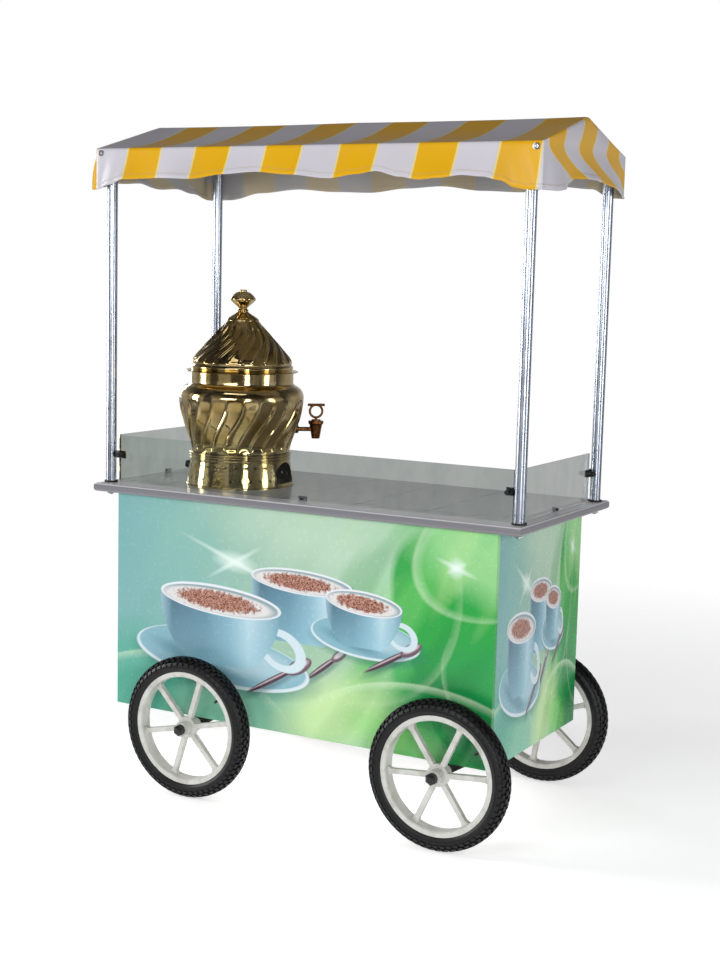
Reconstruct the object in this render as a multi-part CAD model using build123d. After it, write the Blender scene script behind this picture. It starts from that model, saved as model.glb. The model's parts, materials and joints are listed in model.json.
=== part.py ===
from build123d import *
import math
import os

# Push vending cart: a cabinet on four spoked wheels carries a counter with a low glass guard,
# a brass drinks urn and, on four posts, a gable canopy.
# Millimetres. +X runs along the cart, +Y points to the operator, +Z is up, and the origin is on
# the floor under the middle of the counter.

# ---------------------------------------------------------------- driving dimensions
COUNTER_LENGTH = 1380.0
COUNTER_DEPTH = 644.0
COUNTER_THICKNESS = 25.0
COUNTER_TOP = 885.0
COUNTER_EDGE_ROUND = 9.0
PLANK_PITCH = 217.5
PLANK_FIRST = -507.5
PLANK_COUNT = 6
PLANK_GROOVE = (1.6, 0.8)

CABINET_LENGTH = 1232.0
CABINET_DEPTH = 596.0
CABINET_BOTTOM = 221.0
BOARD = 16.0
REAR_FRAME_WIDTH = 40.0
REAR_FRAME_THICKNESS = 24.0
SHELF_HEIGHT = 540.0
SHELF_DEPTH = 470.0
CLEAT = 15.0

DOOR_THICKNESS = 6.0
DOOR_OVERLAP = 30.0
DOOR_SIDE_PLAY = 1.0
DOOR_LIFT_PLAY = 5.0
DOOR_PULL_RADIUS = 17.0
DOOR_PULL_INSET = 48.0
TRACK_WEB = 2.0
BOTTOM_TRACK_HEIGHT = 10.0
TOP_TRACK_HEIGHT = 18.0

WHEEL_RADIUS = 206.5
WHEEL_INSET = {"left": 301.0, "right": 121.0}
WHEEL_Y = 357.5
TYRE_WIDTH = 54.0
TYRE_CROWN = 23.0
TYRE_HEIGHT = 41.5
RIM_WIDTH = 42.0
RIM_BAND = 15.0
RIM_LIP = 3.0
RIM_WELL_DEPTH = 9.0
TYRE_SEAT_PLAY = 0.2
SPOKE_COUNT = 6
SPOKE_WIDTH = 14.0
SPOKE_FLARE = 12.0
SPOKE_THICKNESS = 15.0
SPOKE_ANGLE = {"front_left": 13.0, "front_right": 5.0, "rear_left": 41.0, "rear_right": 20.0}
HUB_RADIUS = 21.0
HUB_LENGTH = 72.0
HUB_FLANGE_RADIUS = 31.0
HUB_BORE_PLAY = 2.0
VALVE_RADIUS = 4.0
VALVE_LENGTH = 24.0
AXLE_RADIUS = 6.0
BEARING_RADIUS = 14.0
BEARING_WIDTH = 8.0
RUNNING_PLAY = 0.05
SEAT_PLAY = 0.02
SIDE_PLAY = 0.3
SPACER_RADIUS = 10.0
AXLE_WASHER_RADIUS = 15.0
AXLE_WASHER_THICKNESS = 3.0
AXLE_NUT_RADIUS = 17.0
AXLE_NUT_LENGTH = 17.0
AXLE_STUB = 12.0
AXLE_NUT_SKIRT = 9.5
AXLE_NUT_DOME = (14.0, 8.5)
BRACKET_PLATE = 5.0
BRACKET_INSET = 6.0
BRACKET_LENGTH = 88.0
BRACKET_FLANGE = (40.0, 3.0)
BRACKET_EYE_RADIUS = 13.0
BRACKET_BOLT_SPACING = 64.0
BOLT_RADIUS = 3.0
BOLT_HEAD_RADIUS = 5.5
BOLT_HEAD_HEIGHT = 4.0

POST_X = 663.0
POST_Y = 273.0
POST_RADIUS = 15.5
POST_WALL = 1.5
POST_COLLAR_RADIUS = 20.0
POST_COLLAR_HEIGHT = 5.0
POST_STUD_RADIUS = 5.0
POST_NUT_RADIUS = 11.0
POST_NUT_HEIGHT = 9.0
POST_WASHER_RADIUS = 14.3
POST_WASHER_HEIGHT = 2.2
POST_STUD_END = 3.0
FOOT_PLUG_HEIGHT = 8.0
PLUG_PLAY = 0.1
PLUG_LENGTH = 30.0

EAVE_HEIGHT = 1862.5
RIDGE_HEIGHT = 1949.5
CANOPY_LENGTH = 1404.0
CANOPY_DEPTH = 602.0
VALANCE_DROP = 120.0
VALANCE_ARCH = (30.0, 26.0)
VALANCE_CORNER = (118.0, 70.0)
VALANCE_RAMP = 50.0
COVER_THICKNESS = 2.5
COVER_PLAY = 0.5
RAIL = 20.0
RAIL_WALL = 1.5
FITTING_PLATE = 4.0
FITTING_MARGIN = 2.0
RIDGE_POLE_RADIUS = 13.0
RIDGE_POLE_WALL = 1.5
KING_POST_RADIUS = 9.0
RAFTER_DEPTH = 12.0
COVER_SCREW_INSET = 21.0
COVER_SCREW_DROP = 13.5
COVER_SCREW_RADIUS = 2.0
COVER_SCREW_HEAD = (4.5, 3.2, 2.5)
COVER_SCREW_GRIP = 4.0
EYELET_RADIUS = 8.0
EYELET_THICKNESS = 1.0

GLASS_THICKNESS = 5.0
GLASS_HEIGHT = 139.0
GLASS_LIFT = 2.0
FRONT_GLASS_Y = -262.0
FRONT_GLASS_LENGTH = 1280.0
SIDE_GLASS_X = 650.0
SIDE_GLASS_LENGTH = 488.0
GLASS_KNOB_HEIGHT = 83.0
GLASS_KNOB_INSET = 10.0
GLASS_KNOB_RADIUS = 10.5
GLASS_KNOB_TIP_RADIUS = 6.0
GLASS_KNOB_LENGTH = 24.0
GLASS_STUD_RADIUS = 3.0
GLASS_STUD_END = 3.0
GLASS_HOLE_PLAY = 0.5
GLASS_TAB = (22.0, 3.0)
GLASS_TAB_OVERLAP = 12.0
CLIP_LENGTH = 24.0
CLIP_HEIGHT = 15.0
CLIP_CHEEK = 2.5
CLIP_SCREW_RADIUS = 4.0
CLIP_SCREW_LENGTH = 5.0
CLIP_PLAY = 0.2

URN_X = -347.0
URN_Y = -52.0
URN_WALL = 2.0
STAND_HEIGHT = 100.0
STAND_FOOT_RADIUS = 160.0
STAND_TOP_RADIUS = 150.0
STAND_LEDGE = 14.0
STAND_COLLAR_HEIGHT = 73.5
STAND_HOLE_RADIUS = 4.0
STAND_HOLE_COUNT = 32
STAND_HOLE_ROWS = (24.0, 62.0)
ARCH_AZIMUTH = 5.0
ARCH_HALF_WIDTH = 50.0
ARCH_SILL = 12.0
ARCH_HEIGHT = 74.0
ARCH_CROWN = 30.0
URN_NECK_RADIUS = 154.0
URN_NECK_TOP = 337.0
URN_SHOULDER_RADIUS = 186.0
URN_SHOULDER_HEIGHT = 266.0
URN_SHOULDER_TOP = 300.0
URN_SEAT_INSET = 3.0
URN_BELLY = ((5.0, 26.0), (17.0, 57.0))
URN_SHOULDER_TURN = (2.5, 6.0, 12.0)
LID_FLANGE_OVERHANG = 14.0
LID_FLANGE_THICKNESS = 3.0
LID_BAND_STEP = 5.0
LID_BAND_HEIGHT = 30.0
LID_SPIGOT_DEPTH = 9.0
LID_SPIGOT_PLAY = 1.5
LID_CAP_RADIUS = 48.0
LID_CAP_HEIGHT = 487.0
LID_FLANK = (24.0, 30.0)
LID_CROWN = (0.72, 2.0)
FINIAL_NECK_HEIGHT = 516.0
FINIAL_NECK_RADIUS = 15.0
FINIAL_RADIUS = 38.0
FINIAL_TOP = 580.0
FINIAL_TENON_RADIUS = 5.0
FINIAL_TENON_LENGTH = 12.0
FINIAL_FOOT = (2.0, 4.0)
BURNER_RADIUS = 70.0
BURNER_HEIGHT = 60.0
BURNER_STEM_RADIUS = 22.0
BURNER_FOOT = (8.0, 14.0)
BURNER_HEAD = (10.0, 14.0)
BURNER_PIPE_RADIUS = 5.0
BURNER_PIPE_HEIGHT = 44.0
BURNER_PIPE_END = 12.0
SPINDLE_RADIUS = 2.5
SPINDLE_LENGTH = 12.0
BURNER_KNOB_RADIUS = 13.5
BURNER_KNOB_LENGTH = 20.0
BURNER_KNOB_TIP_RADIUS = 11.5
BURNER_KNOB_RIB = (3.0, 4.0, 19.0)
BURNER_KNOB_BORE = 14.0
BURNER_KNOB_GAP = 2.0
TAP_AZIMUTH = 40.0
TAP_REACH = 227.0
TAP_HEIGHT = 165.0
TAP_PIPE_RADIUS = 6.5
TAP_PIPE_BORE = 3.5
TAP_FLANGE_RADIUS = 12.5
TAP_FLANGE_REACH = 173.0
TAP_INLET_REACH = 156.0
TAP_BODY_TOP = 190.0
TAP_BODY_BOTTOM = 137.0
TAP_BODY_TOP_RADIUS = 23.0
TAP_COLLAR_RADIUS = 19.0
TAP_COLLAR = (12.0, 5.0)
TAP_BODY_BOTTOM_RADIUS = 12.0
TAP_PLUG_RADIUS = 9.0
TAP_PLUG_DEPTH = 34.0
TAP_RING_RADIUS = 19.0
TAP_RING_WIRE = 3.5
TAP_NECK = 9.0
TAP_SKIRT_RADIUS = 14.0
TAP_SKIRT_HEIGHT = 4.0
TAP_BAR_LENGTH = 52.0
TAP_BAR_RADIUS = 4.0

# ---------------------------------------------------------------- worked-out values
COUNTER_BOTTOM = COUNTER_TOP - COUNTER_THICKNESS
HALF_LENGTH = CABINET_LENGTH / 2
WHEEL_X = {"left": WHEEL_INSET["left"] - HALF_LENGTH, "right": HALF_LENGTH - WHEEL_INSET["right"]}
HALF_DEPTH = CABINET_DEPTH / 2
FLOOR_TOP = CABINET_BOTTOM + BOARD
FRONT_INNER = -HALF_DEPTH + BOARD
SIDE_INNER = HALF_LENGTH - BOARD
REAR_FRAME_Y = (HALF_DEPTH - REAR_FRAME_THICKNESS, HALF_DEPTH)
OPENING_X = SIDE_INNER - REAR_FRAME_WIDTH
OPENING_Z = (FLOOR_TOP + REAR_FRAME_WIDTH, COUNTER_BOTTOM - REAR_FRAME_WIDTH)
TRACK_CHANNEL = DOOR_THICKNESS + 2 * DOOR_SIDE_PLAY
TRACK_WIDTH = 3 * TRACK_WEB + 2 * TRACK_CHANNEL
TRACK_Y = HALF_DEPTH - REAR_FRAME_THICKNESS / 2
DOOR_WIDTH = OPENING_X + DOOR_OVERLAP / 2
DOOR_Z = (OPENING_Z[0] + TRACK_WEB, OPENING_Z[1] - TRACK_WEB - DOOR_LIFT_PLAY)

AXLE_Z = WHEEL_RADIUS
HUB_INNER = WHEEL_Y - HUB_LENGTH / 2
HUB_OUTER = WHEEL_Y + HUB_LENGTH / 2
BRACKET_Y = (HALF_DEPTH - BRACKET_INSET - BRACKET_PLATE, HALF_DEPTH - BRACKET_INSET)
WASHER_Y = HUB_OUTER + SIDE_PLAY
NUT_Y = WASHER_Y + AXLE_WASHER_THICKNESS
RIM_RADIUS = WHEEL_RADIUS - TYRE_HEIGHT
RIM_WELL_RADIUS = RIM_RADIUS - RIM_WELL_DEPTH
RIM_INNER_RADIUS = RIM_RADIUS - RIM_BAND

COVER_X = CANOPY_LENGTH / 2
COVER_Y = CANOPY_DEPTH / 2
FRAME_X = COVER_X - COVER_THICKNESS - COVER_PLAY
FRAME_Y = COVER_Y - COVER_THICKNESS - COVER_PLAY
ROOF_ANGLE = math.atan2(RIDGE_HEIGHT - EAVE_HEIGHT, COVER_Y)
ROOF_SKIN = (COVER_THICKNESS + COVER_PLAY) / math.cos(ROOF_ANGLE)
RAIL_TOP = EAVE_HEIGHT - COVER_THICKNESS - COVER_PLAY
RAIL_BOTTOM = RAIL_TOP - RAIL
POST_TOP = RAIL_BOTTOM - FITTING_PLATE
POST_FOOT = COUNTER_TOP + POST_COLLAR_HEIGHT
RIDGE_POLE_Z = RIDGE_HEIGHT - ROOF_SKIN - RIDGE_POLE_RADIUS / math.cos(ROOF_ANGLE)
COVER_SCREW_Z = EAVE_HEIGHT - COVER_SCREW_DROP

GLASS_BOTTOM = COUNTER_TOP + GLASS_LIFT
KNOB_Z = COUNTER_TOP + GLASS_KNOB_HEIGHT
FRONT_KNOB_X = FRONT_GLASS_LENGTH / 2 - GLASS_KNOB_INSET
SIDE_KNOB_Y = SIDE_GLASS_LENGTH / 2 - GLASS_KNOB_INSET

LID_FLANGE_RADIUS = URN_NECK_RADIUS + LID_FLANGE_OVERHANG
LID_BAND_RADIUS = URN_NECK_RADIUS - LID_BAND_STEP

WHEELS = {f"{row}_{end}": (WHEEL_X[end], side * WHEEL_Y, side)
          for row, side in (("front", -1), ("rear", 1)) for end in ("left", "right")}
POSTS = {f"{row}_{end}": (sx * POST_X, sy * POST_Y)
         for row, sy in (("front", -1), ("rear", 1)) for end, sx in (("left", -1), ("right", 1))}


# ---------------------------------------------------------------- small helpers
def block(x, y, z):
    """Box between two limits on each axis."""
    low = Vector(min(x), min(y), min(z))
    high = Vector(max(x), max(y), max(z))
    size = high - low
    return Pos(*((low + high) / 2)) * Box(size.X, size.Y, size.Z)


def rod(radius, start, end):
    """Solid cylinder from one point to another."""
    start = Vector(*start)
    end = Vector(*end)
    length = (end - start).length
    return Plane(origin=start, z_dir=end - start) * Cylinder(
        radius, length, align=(Align.CENTER, Align.CENTER, Align.MIN))


def cone(radius_a, radius_b, start, end):
    """Solid truncated cone from one point to another."""
    start = Vector(*start)
    end = Vector(*end)
    length = (end - start).length
    return Plane(origin=start, z_dir=end - start) * Cone(
        radius_a, radius_b, length, align=(Align.CENTER, Align.CENTER, Align.MIN))


def tube(radius, wall, start, end):
    """Round tube from one point to another."""
    return rod(radius, start, end) - rod(radius - wall, start, end)


def square_tube(x, y, z, along):
    """Square tube that fills the given limits and is open along one axis."""
    inner = [(low + RAIL_WALL, high - RAIL_WALL) for low, high in (x, y, z)]
    inner["xyz".index(along)] = (x, y, z)["xyz".index(along)]
    return block(x, y, z) - block(*inner)


def turned(edges, centre=(0.0, 0.0)):
    """Solid of revolution about a vertical axis, from edges given as (radius, height)."""
    profile = make_face(Plane.XZ * Wire(edges))
    return Pos(centre[0], centre[1], 0) * revolve(profile, Axis.Z)


def rail_of(points):
    """Straight edges through a list of (radius, height) points."""
    return [Line(a, b) for a, b in zip(points, points[1:])]


def save(name, *solids):
    """Write one node; several pieces in one node stay separate solids."""
    pieces = [solid for shape in solids for solid in shape.solids()]
    shape = pieces[0] if len(pieces) == 1 else Compound(children=pieces)
    export_step(shape, f"parts/{name}.step")


# ---------------------------------------------------------------- cabinet
def cabinet_floor():
    """Floor board with a hole for each bracket bolt."""
    board = block((-SIDE_INNER, SIDE_INNER), (FRONT_INNER, HALF_DEPTH), (CABINET_BOTTOM, FLOOR_TOP))
    for x, _, side in WHEELS.values():
        for bolt_x, bolt_y in bracket_bolt_places(x, side):
            board -= rod(BOLT_RADIUS, (bolt_x, bolt_y, CABINET_BOTTOM - 1), (bolt_x, bolt_y, FLOOR_TOP + 1))
    return board


def cabinet_front():
    return block((-HALF_LENGTH, HALF_LENGTH), (-HALF_DEPTH, FRONT_INNER), (CABINET_BOTTOM, COUNTER_BOTTOM))


def cabinet_end(side):
    return block((side * SIDE_INNER, side * HALF_LENGTH), (FRONT_INNER, HALF_DEPTH),
                 (CABINET_BOTTOM, COUNTER_BOTTOM))


def cabinet_divider():
    return block((-BOARD / 2, BOARD / 2), (FRONT_INNER, REAR_FRAME_Y[0]), (FLOOR_TOP, COUNTER_BOTTOM))


def rear_frame():
    """Two rails and two stiles round the door opening."""
    rails = [block((-SIDE_INNER, SIDE_INNER), REAR_FRAME_Y, limits)
             for limits in ((FLOOR_TOP, OPENING_Z[0]), (OPENING_Z[1], COUNTER_BOTTOM))]
    stiles = [block((side * OPENING_X, side * SIDE_INNER), REAR_FRAME_Y, OPENING_Z) for side in (-1, 1)]
    return rails + stiles


def shelf():
    return block((BOARD / 2, SIDE_INNER), (FRONT_INNER, FRONT_INNER + SHELF_DEPTH),
                 (SHELF_HEIGHT, SHELF_HEIGHT + BOARD))


def shelf_cleats():
    """Two strips that carry the shelf, on the divider and on the end panel."""
    y = (FRONT_INNER, FRONT_INNER + SHELF_DEPTH)
    z = (SHELF_HEIGHT - CLEAT, SHELF_HEIGHT)
    return [block((BOARD / 2, BOARD / 2 + CLEAT), y, z), block((SIDE_INNER - CLEAT, SIDE_INNER), y, z)]


# ---------------------------------------------------------------- sliding doors
def door_track(z_web, z_open):
    """Twin channel that fills the opening's length, with its web at z_web and its mouth at z_open."""
    up = 1 if z_open > z_web else -1
    x = (-OPENING_X, OPENING_X)
    y = (TRACK_Y - TRACK_WIDTH / 2, TRACK_Y + TRACK_WIDTH / 2)
    body = block(x, y, (z_web, z_open))
    for side in (-1, 1):
        middle = TRACK_Y + side * (TRACK_WEB + TRACK_CHANNEL) / 2
        channel = (middle - TRACK_CHANNEL / 2, middle + TRACK_CHANNEL / 2)
        body -= block(x, channel, (z_web + up * TRACK_WEB, z_open))
    return body


def door(side):
    """Sliding door: the left one runs in the outer channel, the right one in the inner."""
    middle = TRACK_Y - side * (TRACK_WEB + TRACK_CHANNEL) / 2
    y = (middle - DOOR_THICKNESS / 2, middle + DOOR_THICKNESS / 2)
    outer = side * OPENING_X
    panel = block((outer, outer - side * DOOR_WIDTH), y, DOOR_Z)
    pull_x = outer - side * DOOR_PULL_INSET
    pull_z = (DOOR_Z[0] + DOOR_Z[1]) / 2
    return panel - rod(DOOR_PULL_RADIUS, (pull_x, y[0] - 1, pull_z), (pull_x, y[1] + 1, pull_z))


# ---------------------------------------------------------------- running gear
def axle(end):
    reach = NUT_Y + AXLE_STUB
    x = WHEEL_X[end]
    return rod(AXLE_RADIUS, (x, -reach, AXLE_Z), (x, reach, AXLE_Z))


def axle_bracket(x, side):
    """Vee plate under the floor with a top flange and an eye for the axle."""
    flange_depth, flange_thickness = BRACKET_FLANGE
    plate_top = CABINET_BOTTOM - flange_thickness
    y_inner, y_outer = side * BRACKET_Y[0], side * BRACKET_Y[1]
    half = BRACKET_LENGTH / 2
    outline = make_hull([
        Line((x - half, plate_top), (x + half, plate_top)),
        Pos(x, AXLE_Z) * CenterArc((0, 0), BRACKET_EYE_RADIUS, 0, 360)])
    plate = extrude(Plane.XZ * make_face(outline), -y_outer, both=False)
    plate &= block((x - half, x + half), (y_inner, y_outer), (0, plate_top))
    flange_y = (y_outer, y_outer - side * flange_depth)
    flange = block((x - half, x + half), flange_y, (plate_top, CABINET_BOTTOM))
    shape = plate + flange
    shape -= rod(AXLE_RADIUS + RUNNING_PLAY, (x, -WHEEL_Y, AXLE_Z), (x, WHEEL_Y, AXLE_Z))
    for bolt_x, bolt_y in bracket_bolt_places(x, side):
        shape -= rod(BOLT_RADIUS, (bolt_x, bolt_y, plate_top - 1), (bolt_x, bolt_y, CABINET_BOTTOM + 1))
    return shape


def bracket_bolt_places(x, side):
    bolt_y = side * (BRACKET_Y[0] - (BRACKET_FLANGE[0] - BRACKET_PLATE) / 2)
    return [(x + offset, bolt_y) for offset in (-BRACKET_BOLT_SPACING / 2, BRACKET_BOLT_SPACING / 2)]


def bracket_bolt(x, y):
    """Bolt from below with its shank through the flange and into the floor board."""
    under = CABINET_BOTTOM - BRACKET_FLANGE[1]
    head = rod(BOLT_HEAD_RADIUS, (x, y, under - BOLT_HEAD_HEIGHT), (x, y, under))
    return head + rod(BOLT_RADIUS, (x, y, under), (x, y, FLOOR_TOP))


def axle_spacer(x, side):
    start = side * BRACKET_Y[1]
    end = side * (HUB_INNER - SIDE_PLAY)
    return tube(SPACER_RADIUS, SPACER_RADIUS - AXLE_RADIUS, (x, start, AXLE_Z), (x, end, AXLE_Z))


def axle_washer(x, side):
    return tube(AXLE_WASHER_RADIUS, AXLE_WASHER_RADIUS - AXLE_RADIUS,
                (x, side * WASHER_Y, AXLE_Z), (x, side * NUT_Y, AXLE_Z))


def axle_nut(x, side):
    """Hexagon nut with a domed cap over the end of the axle."""
    seat = side * NUT_Y
    hexagon = Plane(origin=(x, seat, AXLE_Z), z_dir=(0, side, 0)) * extrude(
        RegularPolygon(AXLE_NUT_RADIUS, 6), AXLE_NUT_SKIRT)
    dome_start = side * (NUT_Y + AXLE_NUT_SKIRT)
    dome_end = side * (NUT_Y + AXLE_NUT_LENGTH)
    wide, narrow = AXLE_NUT_DOME
    dome = cone(wide, narrow, (x, dome_start, AXLE_Z), (x, dome_end, AXLE_Z))
    inner = side * (NUT_Y + AXLE_STUB)
    return hexagon + dome - rod(AXLE_RADIUS, (x, seat, AXLE_Z), (x, inner, AXLE_Z))


def wheel_frame(shape, x, y, angle):
    """Put a shape modelled round the Z axis onto an axle that runs along Y."""
    return Pos(x, y, AXLE_Z) * Rot(0, -angle, 0) * Rot(90, 0, 0) * shape


def rim(x, y, angle):
    """One moulding: channel, six spokes, hub barrel and two bearing seats."""
    half = RIM_WIDTH / 2
    taper = RIM_LIP
    channel = turned(rail_of([
        (RIM_INNER_RADIUS, taper - half), (RIM_INNER_RADIUS + taper, -half), (RIM_RADIUS, -half),
        (RIM_RADIUS, RIM_LIP - half), (RIM_WELL_RADIUS, RIM_LIP - half),
        (RIM_WELL_RADIUS, half - RIM_LIP), (RIM_RADIUS, half - RIM_LIP), (RIM_RADIUS, half),
        (RIM_INNER_RADIUS + taper, half), (RIM_INNER_RADIUS, half - taper),
        (RIM_INNER_RADIUS, taper - half)]))
    hub = Cylinder(HUB_RADIUS, HUB_LENGTH) + Cylinder(HUB_FLANGE_RADIUS, SPOKE_THICKNESS)
    reach = RIM_INNER_RADIUS + RIM_LIP
    narrow = SPOKE_WIDTH / 2
    flare = narrow + SPOKE_FLARE / 2
    outline = Polyline((0, -narrow), (RIM_INNER_RADIUS - SPOKE_FLARE, -narrow), (RIM_INNER_RADIUS, -flare),
                       (reach, -flare), (reach, flare), (RIM_INNER_RADIUS, flare),
                       (RIM_INNER_RADIUS - SPOKE_FLARE, narrow), (0, narrow), close=True)
    spoke = extrude(make_face(outline), SPOKE_THICKNESS / 2, both=True)
    body = channel + hub
    for index in range(SPOKE_COUNT):
        body += Rot(0, 0, index * 360 / SPOKE_COUNT) * spoke
    body -= Cylinder(AXLE_RADIUS + HUB_BORE_PLAY, HUB_LENGTH)
    seat_middle = (HUB_LENGTH - BEARING_WIDTH) / 2
    for end in (-1, 1):
        body -= Pos(0, 0, end * seat_middle) * Cylinder(BEARING_RADIUS + SEAT_PLAY, BEARING_WIDTH)
    body -= valve_blank(VALVE_RADIUS + RUNNING_PLAY)
    return wheel_frame(body, x, y, angle)


def valve_blank(radius):
    """Radial cylinder through the rim, midway between two spokes."""
    angle = math.radians(180 / SPOKE_COUNT)
    direction = Vector(math.cos(angle), math.sin(angle), 0)
    return rod(radius, direction * (RIM_INNER_RADIUS - VALVE_LENGTH), direction * RIM_WELL_RADIUS)


def tyre(x, y, angle):
    """Tyre with its beads in the rim's well, and the valve of its inner tube."""
    bead = RIM_WIDTH / 2 - RIM_LIP - TYRE_SEAT_PLAY
    seat = RIM_WELL_RADIUS + TYRE_SEAT_PLAY
    lip = RIM_RADIUS + TYRE_SEAT_PLAY
    wide = TYRE_WIDTH / 2
    middle = WHEEL_RADIUS - TYRE_CROWN
    section = rail_of([(middle, -wide), (lip, -bead), (seat, -bead), (seat, bead), (lip, bead), (middle, wide)])
    tread = ThreePointArc((middle, wide), (WHEEL_RADIUS, 0), (middle, -wide))
    carcass = turned(section + [tread])
    return [wheel_frame(piece, x, y, angle) for piece in (carcass, valve_blank(VALVE_RADIUS))]


def bearings(x, y):
    """Two ball bearings shown as plain rings."""
    offset = (HUB_LENGTH - BEARING_WIDTH) / 2
    half = BEARING_WIDTH / 2
    return [tube(BEARING_RADIUS, BEARING_RADIUS - AXLE_RADIUS - RUNNING_PLAY,
                 (x, y + end * offset - half, AXLE_Z), (x, y + end * offset + half, AXLE_Z))
            for end in (-1, 1)]


# ---------------------------------------------------------------- counter and posts
def counter():
    """Laminated board with rounded edges, shallow plank grooves and four post holes."""
    half_length = COUNTER_LENGTH / 2
    half_depth = COUNTER_DEPTH / 2
    board = block((-half_length, half_length), (-half_depth, half_depth), (COUNTER_BOTTOM, COUNTER_TOP))
    rims = board.edges().filter_by(Plane.XY)
    board = fillet(rims, COUNTER_EDGE_ROUND)
    width, depth = PLANK_GROOVE
    for index in range(PLANK_COUNT):
        x = PLANK_FIRST + index * PLANK_PITCH
        board -= block((x - width / 2, x + width / 2), (-half_depth, half_depth),
                       (COUNTER_TOP - depth, COUNTER_TOP))
    for x, y in POSTS.values():
        board -= rod(POST_STUD_RADIUS + RUNNING_PLAY, (x, y, COUNTER_BOTTOM), (x, y, COUNTER_TOP))
    return board


def post(x, y):
    """Tube with a plugged foot and a threaded stud down through the counter."""
    shape = tube(POST_RADIUS, POST_WALL, (x, y, POST_FOOT), (x, y, POST_TOP))
    shape += rod(POST_RADIUS, (x, y, POST_FOOT), (x, y, POST_FOOT + FOOT_PLUG_HEIGHT))
    stud_bottom = COUNTER_BOTTOM - POST_NUT_HEIGHT - POST_STUD_END
    return shape + rod(POST_STUD_RADIUS, (x, y, stud_bottom), (x, y, POST_FOOT))


def post_collar(x, y):
    return tube(POST_COLLAR_RADIUS, POST_COLLAR_RADIUS - POST_STUD_RADIUS - RUNNING_PLAY,
                (x, y, COUNTER_TOP), (x, y, POST_FOOT))


def post_nut(x, y):
    """Hexagon nut with a washer face, under the counter."""
    bottom = COUNTER_BOTTOM - POST_NUT_HEIGHT
    washer_bottom = COUNTER_BOTTOM - POST_WASHER_HEIGHT
    hexagon = Pos(x, y, bottom) * extrude(RegularPolygon(POST_NUT_RADIUS, 6), washer_bottom - bottom)
    washer = rod(POST_WASHER_RADIUS, (x, y, washer_bottom), (x, y, COUNTER_BOTTOM))
    return hexagon + washer - rod(POST_STUD_RADIUS + RUNNING_PLAY, (x, y, bottom), (x, y, COUNTER_BOTTOM))


# ---------------------------------------------------------------- canopy
def roof_height(y):
    """Height of the cover's outer roof face at a distance y from the ridge line."""
    return RIDGE_HEIGHT - abs(y) * math.tan(ROOF_ANGLE)


def long_rail(side):
    """Eave rail along the cart."""
    rail = square_tube((-FRAME_X, FRAME_X), sorted((side * FRAME_Y, side * (FRAME_Y - RAIL))),
                       (RAIL_BOTTOM, RAIL_TOP), "x")
    for x in cover_screw_x():
        rail -= rod(COVER_SCREW_RADIUS, (x, side * (FRAME_Y - RAIL / 2), COVER_SCREW_Z),
                    (x, side * COVER_Y, COVER_SCREW_Z))
    return rail


def cross_rail(x_outer, x_inner):
    """Rail across the cart, between the two long rails."""
    inner = FRAME_Y - RAIL
    return square_tube(sorted((x_outer, x_inner)), (-inner, inner), (RAIL_BOTTOM, RAIL_TOP), "y")


def corner_fitting(x, y):
    """Plate under the rails with a plug in the top of the post."""
    side_x = math.copysign(1, x)
    side_y = math.copysign(1, y)
    reach = POST_RADIUS + FITTING_MARGIN
    plate = block((x - side_x * reach, side_x * FRAME_X), (y - side_y * reach, side_y * FRAME_Y),
                  (POST_TOP, RAIL_BOTTOM))
    return plate + rod(POST_RADIUS - POST_WALL - PLUG_PLAY, (x, y, POST_TOP - PLUG_LENGTH), (x, y, POST_TOP))


def ridge_pole():
    return tube(RIDGE_POLE_RADIUS, RIDGE_POLE_WALL, (-FRAME_X, 0, RIDGE_POLE_Z), (FRAME_X, 0, RIDGE_POLE_Z))


def ridge_space():
    return rod(RIDGE_POLE_RADIUS, (-FRAME_X, 0, RIDGE_POLE_Z), (FRAME_X, 0, RIDGE_POLE_Z))


def king_post(x):
    return rod(KING_POST_RADIUS, (x, 0, RAIL_TOP), (x, 0, RIDGE_POLE_Z)) - ridge_space()


def rafter(side_x, side_y):
    """Bar on the end rail, from the eave to the ridge pole, just under the cover."""
    top_eave = roof_height(FRAME_Y) - ROOF_SKIN
    top_ridge = roof_height(0) - ROOF_SKIN
    drop = RAFTER_DEPTH / math.cos(ROOF_ANGLE)
    outline = Polyline((0, top_ridge), (side_y * FRAME_Y, top_eave), (side_y * FRAME_Y, top_eave - drop),
                       (0, top_ridge - drop), close=True)
    bar = extrude(Plane.YZ * make_face(outline), side_x * FRAME_X)
    bar &= block((side_x * (FRAME_X - RAIL), side_x * FRAME_X), (side_y * KING_POST_RADIUS, side_y * FRAME_Y),
                 (RAIL_TOP, RIDGE_HEIGHT))
    return bar - ridge_space()


def gable_prism(x_half, y_half, inset, bottom):
    """Solid gable shape whose roof lies inset below the outer roof."""
    lift = inset / math.cos(ROOF_ANGLE)
    outline = Polyline((-y_half, bottom), (-y_half, roof_height(y_half) - lift), (0, RIDGE_HEIGHT - lift),
                       (y_half, roof_height(y_half) - lift), (y_half, bottom), close=True)
    return extrude(Plane.YZ * make_face(outline), x_half, both=True)


def valance_gap(half_length, rise, along):
    """Prism under the valance's middle: the lower edge is higher there than at the corners."""
    bottom = EAVE_HEIGHT - VALANCE_DROP
    outline = Polyline((-half_length, bottom), (VALANCE_RAMP - half_length, bottom + rise),
                       (half_length - VALANCE_RAMP, bottom + rise), (half_length, bottom), close=True)
    plane, reach = (Plane.XZ, COVER_Y) if along == "x" else (Plane.YZ, COVER_X)
    return extrude(plane * make_face(outline), reach + 1, both=True)


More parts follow.
